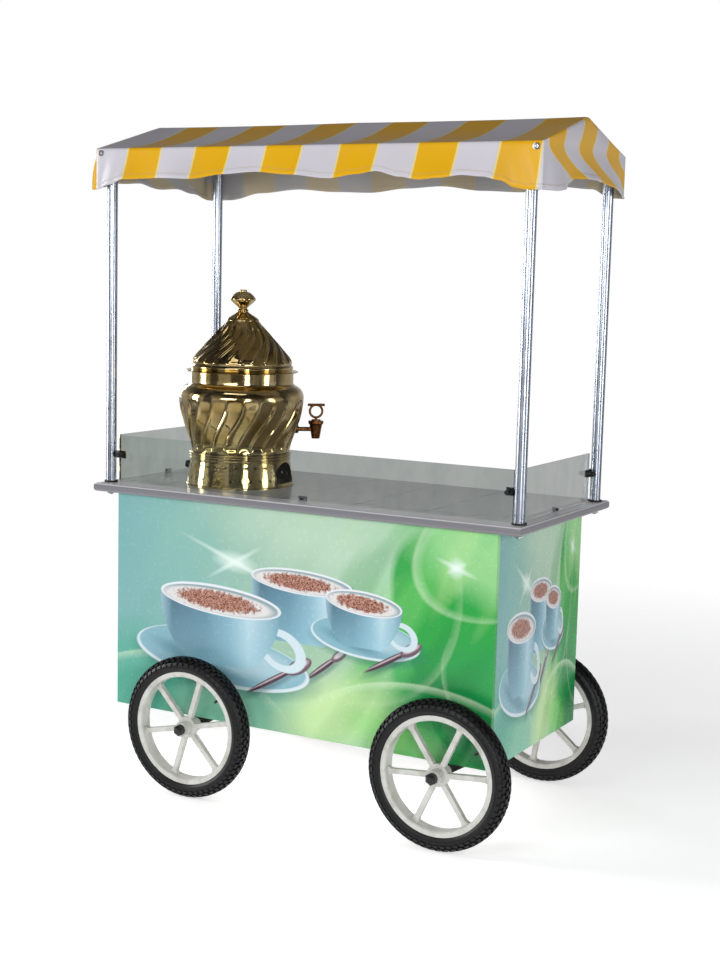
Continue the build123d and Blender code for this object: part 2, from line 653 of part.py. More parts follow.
def canopy_cover():
    """Fabric cover: two roof slopes, two gable ends and a valance all round, open below."""
    bottom = EAVE_HEIGHT - VALANCE_DROP
    shell = gable_prism(COVER_X, COVER_Y, 0, bottom)
    shell -= gable_prism(COVER_X - COVER_THICKNESS, COVER_Y - COVER_THICKNESS, COVER_THICKNESS, bottom)
    shell -= valance_gap(COVER_X - VALANCE_CORNER[0], VALANCE_ARCH[0], "x")
    shell -= valance_gap(COVER_Y - VALANCE_CORNER[1], VALANCE_ARCH[1], "y")
    for side in (-1, 1):
        for x in cover_screw_x():
            shell -= rod(COVER_SCREW_RADIUS, (x, side * (FRAME_Y - 1), COVER_SCREW_Z),
                         (x, side * (COVER_Y + 1), COVER_SCREW_Z))
    return shell


def cover_screw_x():
    return (COVER_SCREW_INSET - COVER_X, COVER_X - COVER_SCREW_INSET)


def cover_screw(x, side):
    radius, tip_radius, height = COVER_SCREW_HEAD
    face = COVER_Y + EYELET_THICKNESS
    shank = rod(COVER_SCREW_RADIUS, (x, side * (FRAME_Y - RAIL_WALL - COVER_SCREW_GRIP), COVER_SCREW_Z),
                (x, side * face, COVER_SCREW_Z))
    return shank + cone(radius, tip_radius, (x, side * face, COVER_SCREW_Z),
                        (x, side * (face + height), COVER_SCREW_Z))


def cover_eyelet(x, side):
    return tube(EYELET_RADIUS, EYELET_RADIUS - COVER_SCREW_RADIUS, (x, side * COVER_Y, COVER_SCREW_Z),
                (x, side * (COVER_Y + EYELET_THICKNESS), COVER_SCREW_Z))


# ---------------------------------------------------------------- glass guard
def pane(x, y):
    """Pane that fills the given plan limits, with a clip at its foot."""
    return block(x, y, (GLASS_BOTTOM, GLASS_BOTTOM + GLASS_HEIGHT))


def front_glass():
    half = FRONT_GLASS_LENGTH / 2
    shape = pane((-half, half), (FRONT_GLASS_Y - GLASS_THICKNESS / 2, FRONT_GLASS_Y + GLASS_THICKNESS / 2))
    for x in (-FRONT_KNOB_X, FRONT_KNOB_X):
        shape -= rod(GLASS_STUD_RADIUS + GLASS_HOLE_PLAY, (x, FRONT_GLASS_Y - GLASS_THICKNESS, KNOB_Z),
                     (x, FRONT_GLASS_Y + GLASS_THICKNESS, KNOB_Z))
    return shape


def side_glass(side):
    x = side * SIDE_GLASS_X
    half = SIDE_GLASS_LENGTH / 2
    shape = pane((x - GLASS_THICKNESS / 2, x + GLASS_THICKNESS / 2), (-half, half))
    return shape - rod(GLASS_STUD_RADIUS + GLASS_HOLE_PLAY, (x - GLASS_THICKNESS, SIDE_KNOB_Y, KNOB_Z),
                       (x + GLASS_THICKNESS, SIDE_KNOB_Y, KNOB_Z))


def glass_tabs():
    """Four short plates, each from a post to the inner face of the pane end that it holds."""
    height, thickness = GLASS_TAB
    z = (KNOB_Z - height / 2, KNOB_Z + height / 2)
    front_y = (FRONT_GLASS_Y + GLASS_THICKNESS / 2, FRONT_GLASS_Y + GLASS_THICKNESS / 2 + thickness)
    side_x = SIDE_GLASS_X - GLASS_THICKNESS / 2
    tabs = []
    for side in (-1, 1):
        front = block((side * (FRONT_KNOB_X - GLASS_TAB_OVERLAP), side * POST_X), front_y, z)
        rear = block((side * side_x, side * (side_x - thickness)),
                     (SIDE_KNOB_Y - GLASS_TAB_OVERLAP, POST_Y), z)
        front -= rod(GLASS_STUD_RADIUS, (side * FRONT_KNOB_X, FRONT_GLASS_Y, KNOB_Z),
                     (side * FRONT_KNOB_X, FRONT_GLASS_Y + 4 * GLASS_THICKNESS, KNOB_Z))
        rear -= rod(GLASS_STUD_RADIUS, (side * SIDE_GLASS_X, SIDE_KNOB_Y, KNOB_Z),
                    (side * (SIDE_GLASS_X - 4 * GLASS_THICKNESS), SIDE_KNOB_Y, KNOB_Z))
        for tab, y in ((front, -POST_Y), (rear, POST_Y)):
            tabs.append(tab - rod(POST_RADIUS, (side * POST_X, y, POST_FOOT), (side * POST_X, y, POST_TOP)))
    return tabs


def glass_knob(place, outward):
    """Tapered clamp knob with its stud through the glass and the tab behind it."""
    place = Vector(*place)
    outward = Vector(*outward)
    face = place + outward * (GLASS_THICKNESS / 2)
    grip = cone(GLASS_KNOB_RADIUS, GLASS_KNOB_TIP_RADIUS, face, face + outward * GLASS_KNOB_LENGTH)
    inner = place - outward * (GLASS_THICKNESS / 2 + GLASS_TAB[1] + GLASS_STUD_END)
    return grip + rod(GLASS_STUD_RADIUS, inner, face)


def glass_knobs():
    fronts = [glass_knob((x, FRONT_GLASS_Y, KNOB_Z), (0, -1, 0)) for x in (-FRONT_KNOB_X, FRONT_KNOB_X)]
    sides = [glass_knob((side * SIDE_GLASS_X, SIDE_KNOB_Y, KNOB_Z), (side, 0, 0)) for side in (-1, 1)]
    return fronts + sides


def clip_blank():
    """Foot clip for a pane that runs along X, standing on the counter at the origin."""
    slot = GLASS_THICKNESS / 2 + CLIP_PLAY
    outer = slot + CLIP_CHEEK
    along = (-CLIP_LENGTH / 2, CLIP_LENGTH / 2)
    body = block(along, (-outer, outer), (COUNTER_TOP, COUNTER_TOP + CLIP_HEIGHT))
    return body - block(along, (-slot, slot), (GLASS_BOTTOM, COUNTER_TOP + CLIP_HEIGHT))


def clip_screw_blank():
    """Thumb screw in the outer cheek of the foot clip."""
    face = GLASS_THICKNESS / 2 + CLIP_PLAY + CLIP_CHEEK
    z = COUNTER_TOP + CLIP_HEIGHT / 2
    return rod(CLIP_SCREW_RADIUS, (0, -face, z), (0, -face - CLIP_SCREW_LENGTH, z))


def at_pane_feet(blank):
    """The three places where a pane stands in its clip."""
    return [Pos(0, FRONT_GLASS_Y, 0) * blank, Pos(SIDE_GLASS_X, 0, 0) * Rot(0, 0, 90) * blank,
            Pos(-SIDE_GLASS_X, 0, 0) * Rot(0, 0, -90) * blank]


# ---------------------------------------------------------------- urn
def urn_place(shape):
    """Put a shape modelled round the Z axis from height 0 onto the counter."""
    return Pos(URN_X, URN_Y, COUNTER_TOP) * shape


def around(azimuth, radius, height):
    angle = math.radians(azimuth)
    return Vector(radius * math.cos(angle), radius * math.sin(angle), height)


def hole_is_blocked(azimuth):
    """True beside the arch and beside the burner's pipe, where the drum has no small holes."""
    margin = 2 * STAND_HOLE_RADIUS
    for middle, half_width in ((ARCH_AZIMUTH, ARCH_HALF_WIDTH), (180, BURNER_PIPE_RADIUS)):
        offset = abs((azimuth - middle + 180) % 360 - 180)
        if offset < math.degrees(math.asin((half_width + margin) / STAND_TOP_RADIUS)):
            return True
    return False


def urn_stand():
    """Pierced drum with a foot, a ledge for the urn and an arched stoke opening."""
    foot, top, wall = STAND_FOOT_RADIUS, STAND_TOP_RADIUS, URN_WALL
    ledge = STAND_HEIGHT - wall
    collar = STAND_COLLAR_HEIGHT
    drum = turned(rail_of([(foot - wall, 0), (foot, 0), (top, collar), (top, STAND_HEIGHT),
                           (top - STAND_LEDGE, STAND_HEIGHT), (top - STAND_LEDGE, ledge), (top - wall, ledge),
                           (top - wall, collar), (foot - wall, 0)]))
    inner = top - 2 * STAND_LEDGE
    beyond = foot + STAND_LEDGE
    for row, height in enumerate(STAND_HOLE_ROWS):
        for index in range(STAND_HOLE_COUNT):
            azimuth = (index + row / 2) * 360 / STAND_HOLE_COUNT
            if not hole_is_blocked(azimuth):
                drum -= rod(STAND_HOLE_RADIUS, around(azimuth, inner, height), around(azimuth, beyond, height))
    straight = ARCH_HEIGHT - ARCH_CROWN
    arch = Polyline((-ARCH_HALF_WIDTH, straight), (-ARCH_HALF_WIDTH, ARCH_SILL), (ARCH_HALF_WIDTH, ARCH_SILL),
                    (ARCH_HALF_WIDTH, straight))
    crown = ThreePointArc((ARCH_HALF_WIDTH, straight), (0, ARCH_HEIGHT), (-ARCH_HALF_WIDTH, straight))
    opening = extrude(make_face(Plane.YZ * Wire([*arch.edges(), crown])), beyond)
    drum -= Rot(0, 0, ARCH_AZIMUTH) * opening
    pipe_hole = BURNER_PIPE_RADIUS + SIDE_PLAY
    drum -= rod(pipe_hole, (-inner, 0, BURNER_PIPE_HEIGHT), (-beyond, 0, BURNER_PIPE_HEIGHT))
    return urn_place(drum)


def burner():
    """Ring burner on a foot, with its gas pipe out through the stand's wall."""
    foot_edge, foot_top = BURNER_FOOT
    head_edge, head_root = (BURNER_HEIGHT - depth for depth in BURNER_HEAD)
    body = turned(rail_of([(0, 0), (BURNER_RADIUS, 0), (BURNER_RADIUS, foot_edge),
                           (BURNER_STEM_RADIUS, foot_top), (BURNER_STEM_RADIUS, head_root),
                           (BURNER_RADIUS, head_edge), (BURNER_RADIUS, BURNER_HEIGHT),
                           (0, BURNER_HEIGHT), (0, 0)]))
    pipe_end = STAND_FOOT_RADIUS + BURNER_PIPE_END
    body += rod(BURNER_PIPE_RADIUS, (0, 0, BURNER_PIPE_HEIGHT), (-pipe_end, 0, BURNER_PIPE_HEIGHT))
    spindle_end = pipe_end + BURNER_KNOB_GAP + SPINDLE_LENGTH
    body += rod(SPINDLE_RADIUS, (-pipe_end, 0, BURNER_PIPE_HEIGHT),
                (-spindle_end, 0, BURNER_PIPE_HEIGHT))
    return urn_place(body)


def burner_knob():
    """Round grip with a pointer rib, bored to turn on the burner's spindle."""
    start = STAND_FOOT_RADIUS + BURNER_PIPE_END + BURNER_KNOB_GAP
    end = start + BURNER_KNOB_LENGTH
    z = BURNER_PIPE_HEIGHT
    grip = cone(BURNER_KNOB_RADIUS, BURNER_KNOB_TIP_RADIUS, (-start, 0, z), (-end, 0, z))
    lift, width, length = BURNER_KNOB_RIB
    rib = block((-end - lift, -end), (-width / 2, width / 2), (z - length / 2, z + length / 2))
    bore = rod(SPINDLE_RADIUS + RUNNING_PLAY, (-start, 0, z), (-start - BURNER_KNOB_BORE, 0, z))
    return urn_place(grip + rib - bore)


def pot_outline(shrink, bottom, top):
    """Closed half outline of the urn's pot, moved in by shrink from its outer face."""
    neck = URN_NECK_RADIUS - shrink
    shoulder = URN_SHOULDER_RADIUS - shrink
    waist = STAND_TOP_RADIUS - URN_SEAT_INSET - shrink
    crease = URN_SHOULDER_TOP - shrink / 2
    inset, below, above = URN_SHOULDER_TURN
    widest = (shoulder, URN_SHOULDER_HEIGHT - below)
    belly = Spline((waist, bottom), *[(waist + out, bottom + up) for out, up in URN_BELLY], widest,
                   tangents=((0.1, 1), (0.15, 1)))
    turn = Spline(widest, (shoulder - inset, URN_SHOULDER_HEIGHT + above), (neck, crease),
                  tangents=((0.1, 1), (-0.5, 1)))
    return [Line((0, bottom), (waist, bottom)), belly, turn, Line((neck, crease), (neck, top)),
            Line((neck, top), (0, top)), Line((0, top), (0, bottom))]


def urn_body():
    """Pot with a wide shoulder and a plain neck, with a hole for the tap's pipe."""
    shell = turned(pot_outline(0, STAND_HEIGHT, URN_NECK_TOP))
    shell -= turned(pot_outline(URN_WALL, STAND_HEIGHT + URN_WALL, URN_NECK_TOP))
    shell -= rod(TAP_PIPE_RADIUS, around(TAP_AZIMUTH, TAP_INLET_REACH / 2, TAP_HEIGHT),
                 around(TAP_AZIMUTH, TAP_REACH, TAP_HEIGHT))
    return urn_place(shell)


def lid_outline(shrink):
    """Closed half outline of the lid's cone, moved in by shrink from its outer face."""
    seat = URN_NECK_TOP + LID_FLANGE_THICKNESS
    band_top = seat + LID_BAND_HEIGHT
    band = LID_BAND_RADIUS - shrink
    cap = LID_CAP_RADIUS - shrink
    neck = FINIAL_NECK_RADIUS - shrink / 2
    inset, rise = LID_FLANK
    share, dip = LID_CROWN
    flank = Spline((band, band_top), (band - inset, band_top + rise), (cap, LID_CAP_HEIGHT - shrink),
                   tangents=((-0.5, 1), (-0.75, 1)))
    crown_middle = (LID_CAP_HEIGHT + FINIAL_NECK_HEIGHT) / 2 - dip - shrink
    crown = ThreePointArc((cap, LID_CAP_HEIGHT - shrink), (cap * share, crown_middle),
                          (neck, FINIAL_NECK_HEIGHT - shrink))
    return [Line((0, seat), (band, seat)), Line((band, seat), (band, band_top)), flank, crown,
            Line((neck, FINIAL_NECK_HEIGHT - shrink), (0, FINIAL_NECK_HEIGHT - shrink)),
            Line((0, FINIAL_NECK_HEIGHT - shrink), (0, seat))]


def urn_lid():
    """Hollow lid with a flange that rests on the pot's neck and a spigot inside it."""
    seat = URN_NECK_TOP + LID_FLANGE_THICKNESS
    spigot = URN_NECK_RADIUS - URN_WALL - LID_SPIGOT_PLAY
    lid = turned(lid_outline(0))
    lid += turned(rail_of([(0, URN_NECK_TOP), (LID_FLANGE_RADIUS, URN_NECK_TOP), (LID_FLANGE_RADIUS, seat),
                           (0, seat), (0, URN_NECK_TOP)]))
    spigot_bottom = URN_NECK_TOP - LID_SPIGOT_DEPTH
    lid += turned(rail_of([(0, spigot_bottom), (spigot, spigot_bottom), (spigot, URN_NECK_TOP),
                           (0, URN_NECK_TOP), (0, spigot_bottom)]))
    hollow = LID_BAND_RADIUS - URN_WALL
    lid -= turned(lid_outline(URN_WALL))
    lid -= turned(rail_of([(0, spigot_bottom), (hollow, spigot_bottom), (hollow, seat), (0, seat),
                           (0, spigot_bottom)]))
    lid -= rod(FINIAL_TENON_RADIUS, (0, 0, LID_CAP_HEIGHT), (0, 0, FINIAL_NECK_HEIGHT))
    return urn_place(lid)


def lid_finial():
    """Solid knob of the lid with a tenon down through the lid's crown."""
    middle = (FINIAL_NECK_HEIGHT + FINIAL_TOP) / 2
    foot_lip, foot_height = FINIAL_FOOT
    foot = (FINIAL_NECK_RADIUS + foot_lip, FINIAL_NECK_HEIGHT)
    ball_start = (FINIAL_NECK_RADIUS, FINIAL_NECK_HEIGHT + foot_height)
    edges = [Line((0, FINIAL_NECK_HEIGHT), foot),
             Line(foot, ball_start),
             Spline(ball_start, (FINIAL_RADIUS, middle), (0, FINIAL_TOP),
                    tangents=((1, 0.6), (-1, 0))),
             Line((0, FINIAL_TOP), (0, FINIAL_NECK_HEIGHT))]
    tenon = rod(FINIAL_TENON_RADIUS, (0, 0, FINIAL_NECK_HEIGHT - FINIAL_TENON_LENGTH),
                (0, 0, FINIAL_NECK_HEIGHT))
    return urn_place(turned(edges) + tenon)


def tap():
    """Tap: pipe out of the pot, tapered body with a plug bore from above and an outlet below."""
    centre = around(TAP_AZIMUTH, TAP_REACH, 0)
    x, y = centre.X, centre.Y
    collar = TAP_BODY_TOP - TAP_COLLAR[0]
    rim_start = collar + TAP_COLLAR[1]
    inlet = around(TAP_AZIMUTH, TAP_INLET_REACH, TAP_HEIGHT)
    outlet = around(TAP_AZIMUTH, TAP_REACH, TAP_HEIGHT)
    body = cone(TAP_BODY_BOTTOM_RADIUS, TAP_COLLAR_RADIUS, (x, y, TAP_BODY_BOTTOM), (x, y, collar))
    body += cone(TAP_COLLAR_RADIUS, TAP_BODY_TOP_RADIUS, (x, y, collar), (x, y, rim_start))
    body += rod(TAP_BODY_TOP_RADIUS, (x, y, rim_start), (x, y, TAP_BODY_TOP))
    body += rod(TAP_PIPE_RADIUS, inlet, outlet)
    flange = rod(TAP_FLANGE_RADIUS, inlet, around(TAP_AZIMUTH, TAP_FLANGE_REACH, TAP_HEIGHT))
    body += flange - turned(pot_outline(0, STAND_HEIGHT, URN_NECK_TOP))
    body -= rod(TAP_PIPE_BORE, inlet, outlet)
    body -= rod(TAP_PIPE_BORE, (x, y, TAP_BODY_BOTTOM), (x, y, TAP_BODY_TOP))
    body -= rod(TAP_PLUG_RADIUS + RUNNING_PLAY, (x, y, TAP_BODY_TOP - TAP_PLUG_DEPTH - 1), (x, y, TAP_BODY_TOP))
    return urn_place(body)


def tap_key():
    """Turning plug with a ring grip and a cross bar."""
    centre = around(TAP_AZIMUTH, TAP_REACH, 0)
    x, y = centre.X, centre.Y
    plug = rod(TAP_PLUG_RADIUS, (x, y, TAP_BODY_TOP - TAP_PLUG_DEPTH), (x, y, TAP_BODY_TOP + SIDE_PLAY))
    sideways = around(TAP_AZIMUTH + 90, TAP_PLUG_RADIUS + 1, 0)
    waterway = Vector(x, y, TAP_HEIGHT)
    plug -= rod(TAP_PIPE_BORE, waterway, waterway + sideways)
    plug -= rod(TAP_PIPE_BORE, (x, y, TAP_BODY_BOTTOM), (x, y, TAP_HEIGHT))
    skirt_top = TAP_BODY_TOP + SIDE_PLAY + TAP_SKIRT_HEIGHT
    skirt = rod(TAP_SKIRT_RADIUS, (x, y, TAP_BODY_TOP + SIDE_PLAY), (x, y, skirt_top))
    neck = rod(TAP_BAR_RADIUS, (x, y, skirt_top), (x, y, skirt_top + TAP_NECK))
    ring_z = skirt_top + TAP_NECK / 2 + TAP_RING_RADIUS + TAP_RING_WIRE / 2
    across = around(TAP_AZIMUTH, 1, 0)
    normal = around(TAP_AZIMUTH + 90, 1, 0)
    ring = Plane(origin=(x, y, ring_z), z_dir=normal) * Torus(TAP_RING_RADIUS, TAP_RING_WIRE)
    bar_z = ring_z + TAP_RING_RADIUS
    middle = Vector(x, y, bar_z)
    bar = rod(TAP_BAR_RADIUS, middle - across * (TAP_BAR_LENGTH / 2), middle + across * (TAP_BAR_LENGTH / 2))
    return urn_place(plug + skirt + neck + ring + bar)


# ---------------------------------------------------------------- write every node
def build_cabinet():
    save("cabinet_floor", cabinet_floor())
    save("cabinet_front", cabinet_front())
    save("cabinet_left", cabinet_end(-1))
    save("cabinet_right", cabinet_end(1))
    save("cabinet_divider", cabinet_divider())
    save("rear_frame", *rear_frame())
    save("shelf", shelf())
    save("shelf_cleats", *shelf_cleats())
    save("door_track_bottom", door_track(OPENING_Z[0], OPENING_Z[0] + BOTTOM_TRACK_HEIGHT))
    save("door_track_top", door_track(OPENING_Z[1], OPENING_Z[1] - TOP_TRACK_HEIGHT))
    save("door_left", door(-1))
    save("door_right", door(1))


def build_running_gear():
    for end in WHEEL_X:
        save(f"axle_{end}", axle(end))
    places = [(x, side) for x, _, side in WHEELS.values()]
    save("axle_brackets", *[axle_bracket(x, side) for x, side in places])
    save("bracket_bolts", *[bracket_bolt(bolt_x, bolt_y) for x, side in places
                            for bolt_x, bolt_y in bracket_bolt_places(x, side)])
    save("axle_spacers", *[axle_spacer(x, side) for x, side in places])
    save("axle_nuts", *[fastener(x, side) for x, side in places for fastener in (axle_washer, axle_nut)])
    for name, (x, y, _) in WHEELS.items():
        save(f"rim_{name}", rim(x, y, SPOKE_ANGLE[name]))
        save(f"tyre_{name}", *tyre(x, y, SPOKE_ANGLE[name]))
        save(f"bearings_{name}", *bearings(x, y))


def build_counter():
    save("counter", counter())
    for name, (x, y) in POSTS.items():
        save(f"post_{name}", post(x, y))
    save("post_collars", *[post_collar(x, y) for x, y in POSTS.values()])
    save("post_nuts", *[post_nut(x, y) for x, y in POSTS.values()])
    save("glass_front", front_glass())
    save("glass_left", side_glass(-1))
    save("glass_right", side_glass(1))
    save("glass_tabs", *glass_tabs())
    save("glass_knobs", *glass_knobs())
    save("glass_clips", *at_pane_feet(clip_blank()))
    save("clip_screws", *at_pane_feet(clip_screw_blank()))


def build_canopy():
    corners = [(x, side) for side in (-1, 1) for x in cover_screw_x()]
    save("eave_rail_front", long_rail(-1))
    save("eave_rail_rear", long_rail(1))
    save("cross_rails", cross_rail(-FRAME_X, RAIL - FRAME_X), cross_rail(-RAIL / 2, RAIL / 2),
         cross_rail(FRAME_X - RAIL, FRAME_X))
    save("corner_fittings", *[corner_fitting(x, y) for x, y in POSTS.values()])
    save("ridge_pole", ridge_pole())
    save("gable_bars", *[king_post(x) for x in (RAIL / 2 - FRAME_X, 0, FRAME_X - RAIL / 2)],
         *[rafter(side_x, side_y) for side_x in (-1, 1) for side_y in (-1, 1)])
    save("canopy_cover", canopy_cover())
    save("cover_screws", *[fastener(x, side) for x, side in corners
                           for fastener in (cover_screw, cover_eyelet)])


def build_urn():
    save("urn_stand", urn_stand())
    save("burner", burner())
    save("burner_knob", burner_knob())
    save("urn_body", urn_body())
    save("urn_lid", urn_lid())
    save("lid_finial", lid_finial())
    save("tap", tap())
    save("tap_key", tap_key())


os.makedirs("parts", exist_ok=True)
build_cabinet()
build_running_gear()
build_counter()
build_canopy()
build_urn()
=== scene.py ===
import json
import math

import bmesh
import bpy
import numpy as np
from mathutils import Matrix, Vector


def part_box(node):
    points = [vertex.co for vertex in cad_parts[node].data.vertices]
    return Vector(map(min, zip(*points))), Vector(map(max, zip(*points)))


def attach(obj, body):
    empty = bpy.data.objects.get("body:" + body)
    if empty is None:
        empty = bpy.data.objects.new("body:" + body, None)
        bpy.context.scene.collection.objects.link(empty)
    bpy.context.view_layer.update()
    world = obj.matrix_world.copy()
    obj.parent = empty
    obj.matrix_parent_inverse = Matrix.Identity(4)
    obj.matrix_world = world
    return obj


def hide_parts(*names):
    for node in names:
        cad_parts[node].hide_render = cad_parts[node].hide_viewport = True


# Looks for a push vending cart: printed cabinet, laminate counter, glass guard, swirl-fluted
# brass urn, striped canopy and four wheels with knobbed tyres. Metres, +Z up, +Y to the seller.

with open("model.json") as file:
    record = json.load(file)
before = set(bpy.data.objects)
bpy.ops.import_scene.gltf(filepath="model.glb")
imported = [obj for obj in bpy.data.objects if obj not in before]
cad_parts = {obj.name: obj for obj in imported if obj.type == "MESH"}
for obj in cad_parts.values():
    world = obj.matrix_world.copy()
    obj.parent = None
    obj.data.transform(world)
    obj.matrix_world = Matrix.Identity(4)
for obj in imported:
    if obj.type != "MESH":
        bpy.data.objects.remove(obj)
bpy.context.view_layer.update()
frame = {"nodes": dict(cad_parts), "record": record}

# ---------------------------------------------------------------- sizes taken from the frame
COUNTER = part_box("counter")
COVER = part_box("canopy_cover")
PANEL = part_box("cabinet_front")
URN_FOOT = (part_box("urn_stand")[0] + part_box("urn_stand")[1]) / 2
URN_BASE = Vector((URN_FOOT.x, URN_FOOT.y, COUNTER[1].z))
WHEELS = ("front_left", "front_right", "rear_left", "rear_right")
MM = 0.001


# ---------------------------------------------------------------- small helpers
def paint(code):
    """Linear colour from an sRGB hex code."""
    channels = [int(code[i:i + 2], 16) / 255 for i in (1, 3, 5)]
    return (*[c / 12.92 if c <= 0.04045 else ((c + 0.055) / 1.055) ** 2.4 for c in channels], 1.0)


def add(tree, kind, *values, stops=(), **named):
    """Adds a node and returns its first live output. Values fill the live inputs in order, and a
    capitalised name is an input's own name: each is a number, a hex colour or an output to link.
    Other names are the node's settings, and stops are a ramp's places and colours."""
    node = tree.nodes.new(kind if "Node" in kind else f"ShaderNode{kind}")
    for name, value in named.items():
        if name[0].islower():
            setattr(node, name, value)
    given = list(zip([socket for socket in node.inputs if socket.enabled], values))
    given += [(node.inputs[name.replace("_", " ")], value) for name, value in named.items()
              if name[0].isupper()]
    for socket, value in given:
        if isinstance(value, bpy.types.NodeSocket):
            tree.links.new(value, socket)
        else:
            socket.default_value = paint(value) if isinstance(value, str) else value
    for _ in stops[2:]:
        node.color_ramp.elements.new(0.5)
    for k, (place, code) in enumerate(stops):
        node.color_ramp.elements[k].position = place
        node.color_ramp.elements[k].color = paint(code)
    live = [socket for socket in node.outputs if socket.enabled]
    return live[0] if live else None


def blank_group(name, inputs, outputs):
    """A new shader group with (name, kind, value) sockets; returns it and its inputs' outputs."""
    group = bpy.data.node_groups.new(name, "ShaderNodeTree")
    for label, kind, value in inputs:
        socket = group.interface.new_socket(label, in_out="INPUT", socket_type=f"NodeSocket{kind}")
        socket.default_value = value
    for label, kind in outputs:
        group.interface.new_socket(label, in_out="OUTPUT", socket_type=f"NodeSocket{kind}")
    return group, add(group, "NodeGroupInput").node.outputs


def blank_finish(name):
    """A new material with nothing in its tree yet; returns both."""
    material = bpy.data.materials.new(name)
    material.use_nodes = True
    material.node_tree.nodes.clear()
    return material, material.node_tree


def grain_group():
    """Noise in the object's own metres. Its blobs are Size mm across, and longer along an axis
    that Stretch makes smaller."""
    group, given = blank_group("grain", [("Size mm", "Float", 10.0), ("Stretch", "Vector", (1, 1, 1)),
                                         ("Detail", "Float", 3.0), ("Roughness", "Float", 0.5)],
                               [("Height", "Float")])
    where = add(group, "TexCoord").node.outputs["Object"]
    placed = add(group, "Mapping", Vector=where, Scale=given["Stretch"])
    blobs_in_a_metre = add(group, "Math", 1 / MM, given["Size mm"], operation="DIVIDE")
    noise = add(group, "TexNoise", Vector=placed, Scale=blobs_in_a_metre, Detail=given["Detail"],
                Roughness=given["Roughness"])
    add(group, "NodeGroupOutput", noise)
    return group


GRAIN = grain_group()


# ---------------------------------------------------------------- the printed film's artwork
def soft_ellipse_group():
    """Mask of a turned ellipse with a soft edge, for the film's artwork."""
    sockets = [("Place", "Vector", (0, 0, 0)), ("Centre", "Vector", (0, 0, 0)),
               ("Radii", "Vector", (1, 1, 1)), ("Turn", "Float", 0.0), ("Softness", "Float", 1.0)]
    group, given = blank_group("soft_ellipse", sockets, [("Mask", "Float")])
    offset = add(group, "VectorMath", given["Place"], given["Centre"], operation="SUBTRACT")
    turned = add(group, "VectorRotate", Vector=offset, Angle=given["Turn"], rotation_type="Z_AXIS")
    share = add(group, "VectorMath", turned, given["Radii"], operation="DIVIDE")
    radius = add(group, "VectorMath", share, operation="LENGTH")
    inside = add(group, "Math", 1.0, radius, operation="SUBTRACT")
    edge = add(group, "Math", inside, given["Softness"], operation="DIVIDE")
    add(group, "NodeGroupOutput", add(group, "Math", edge, 0.5, operation="ADD", use_clamp=True))
    return group


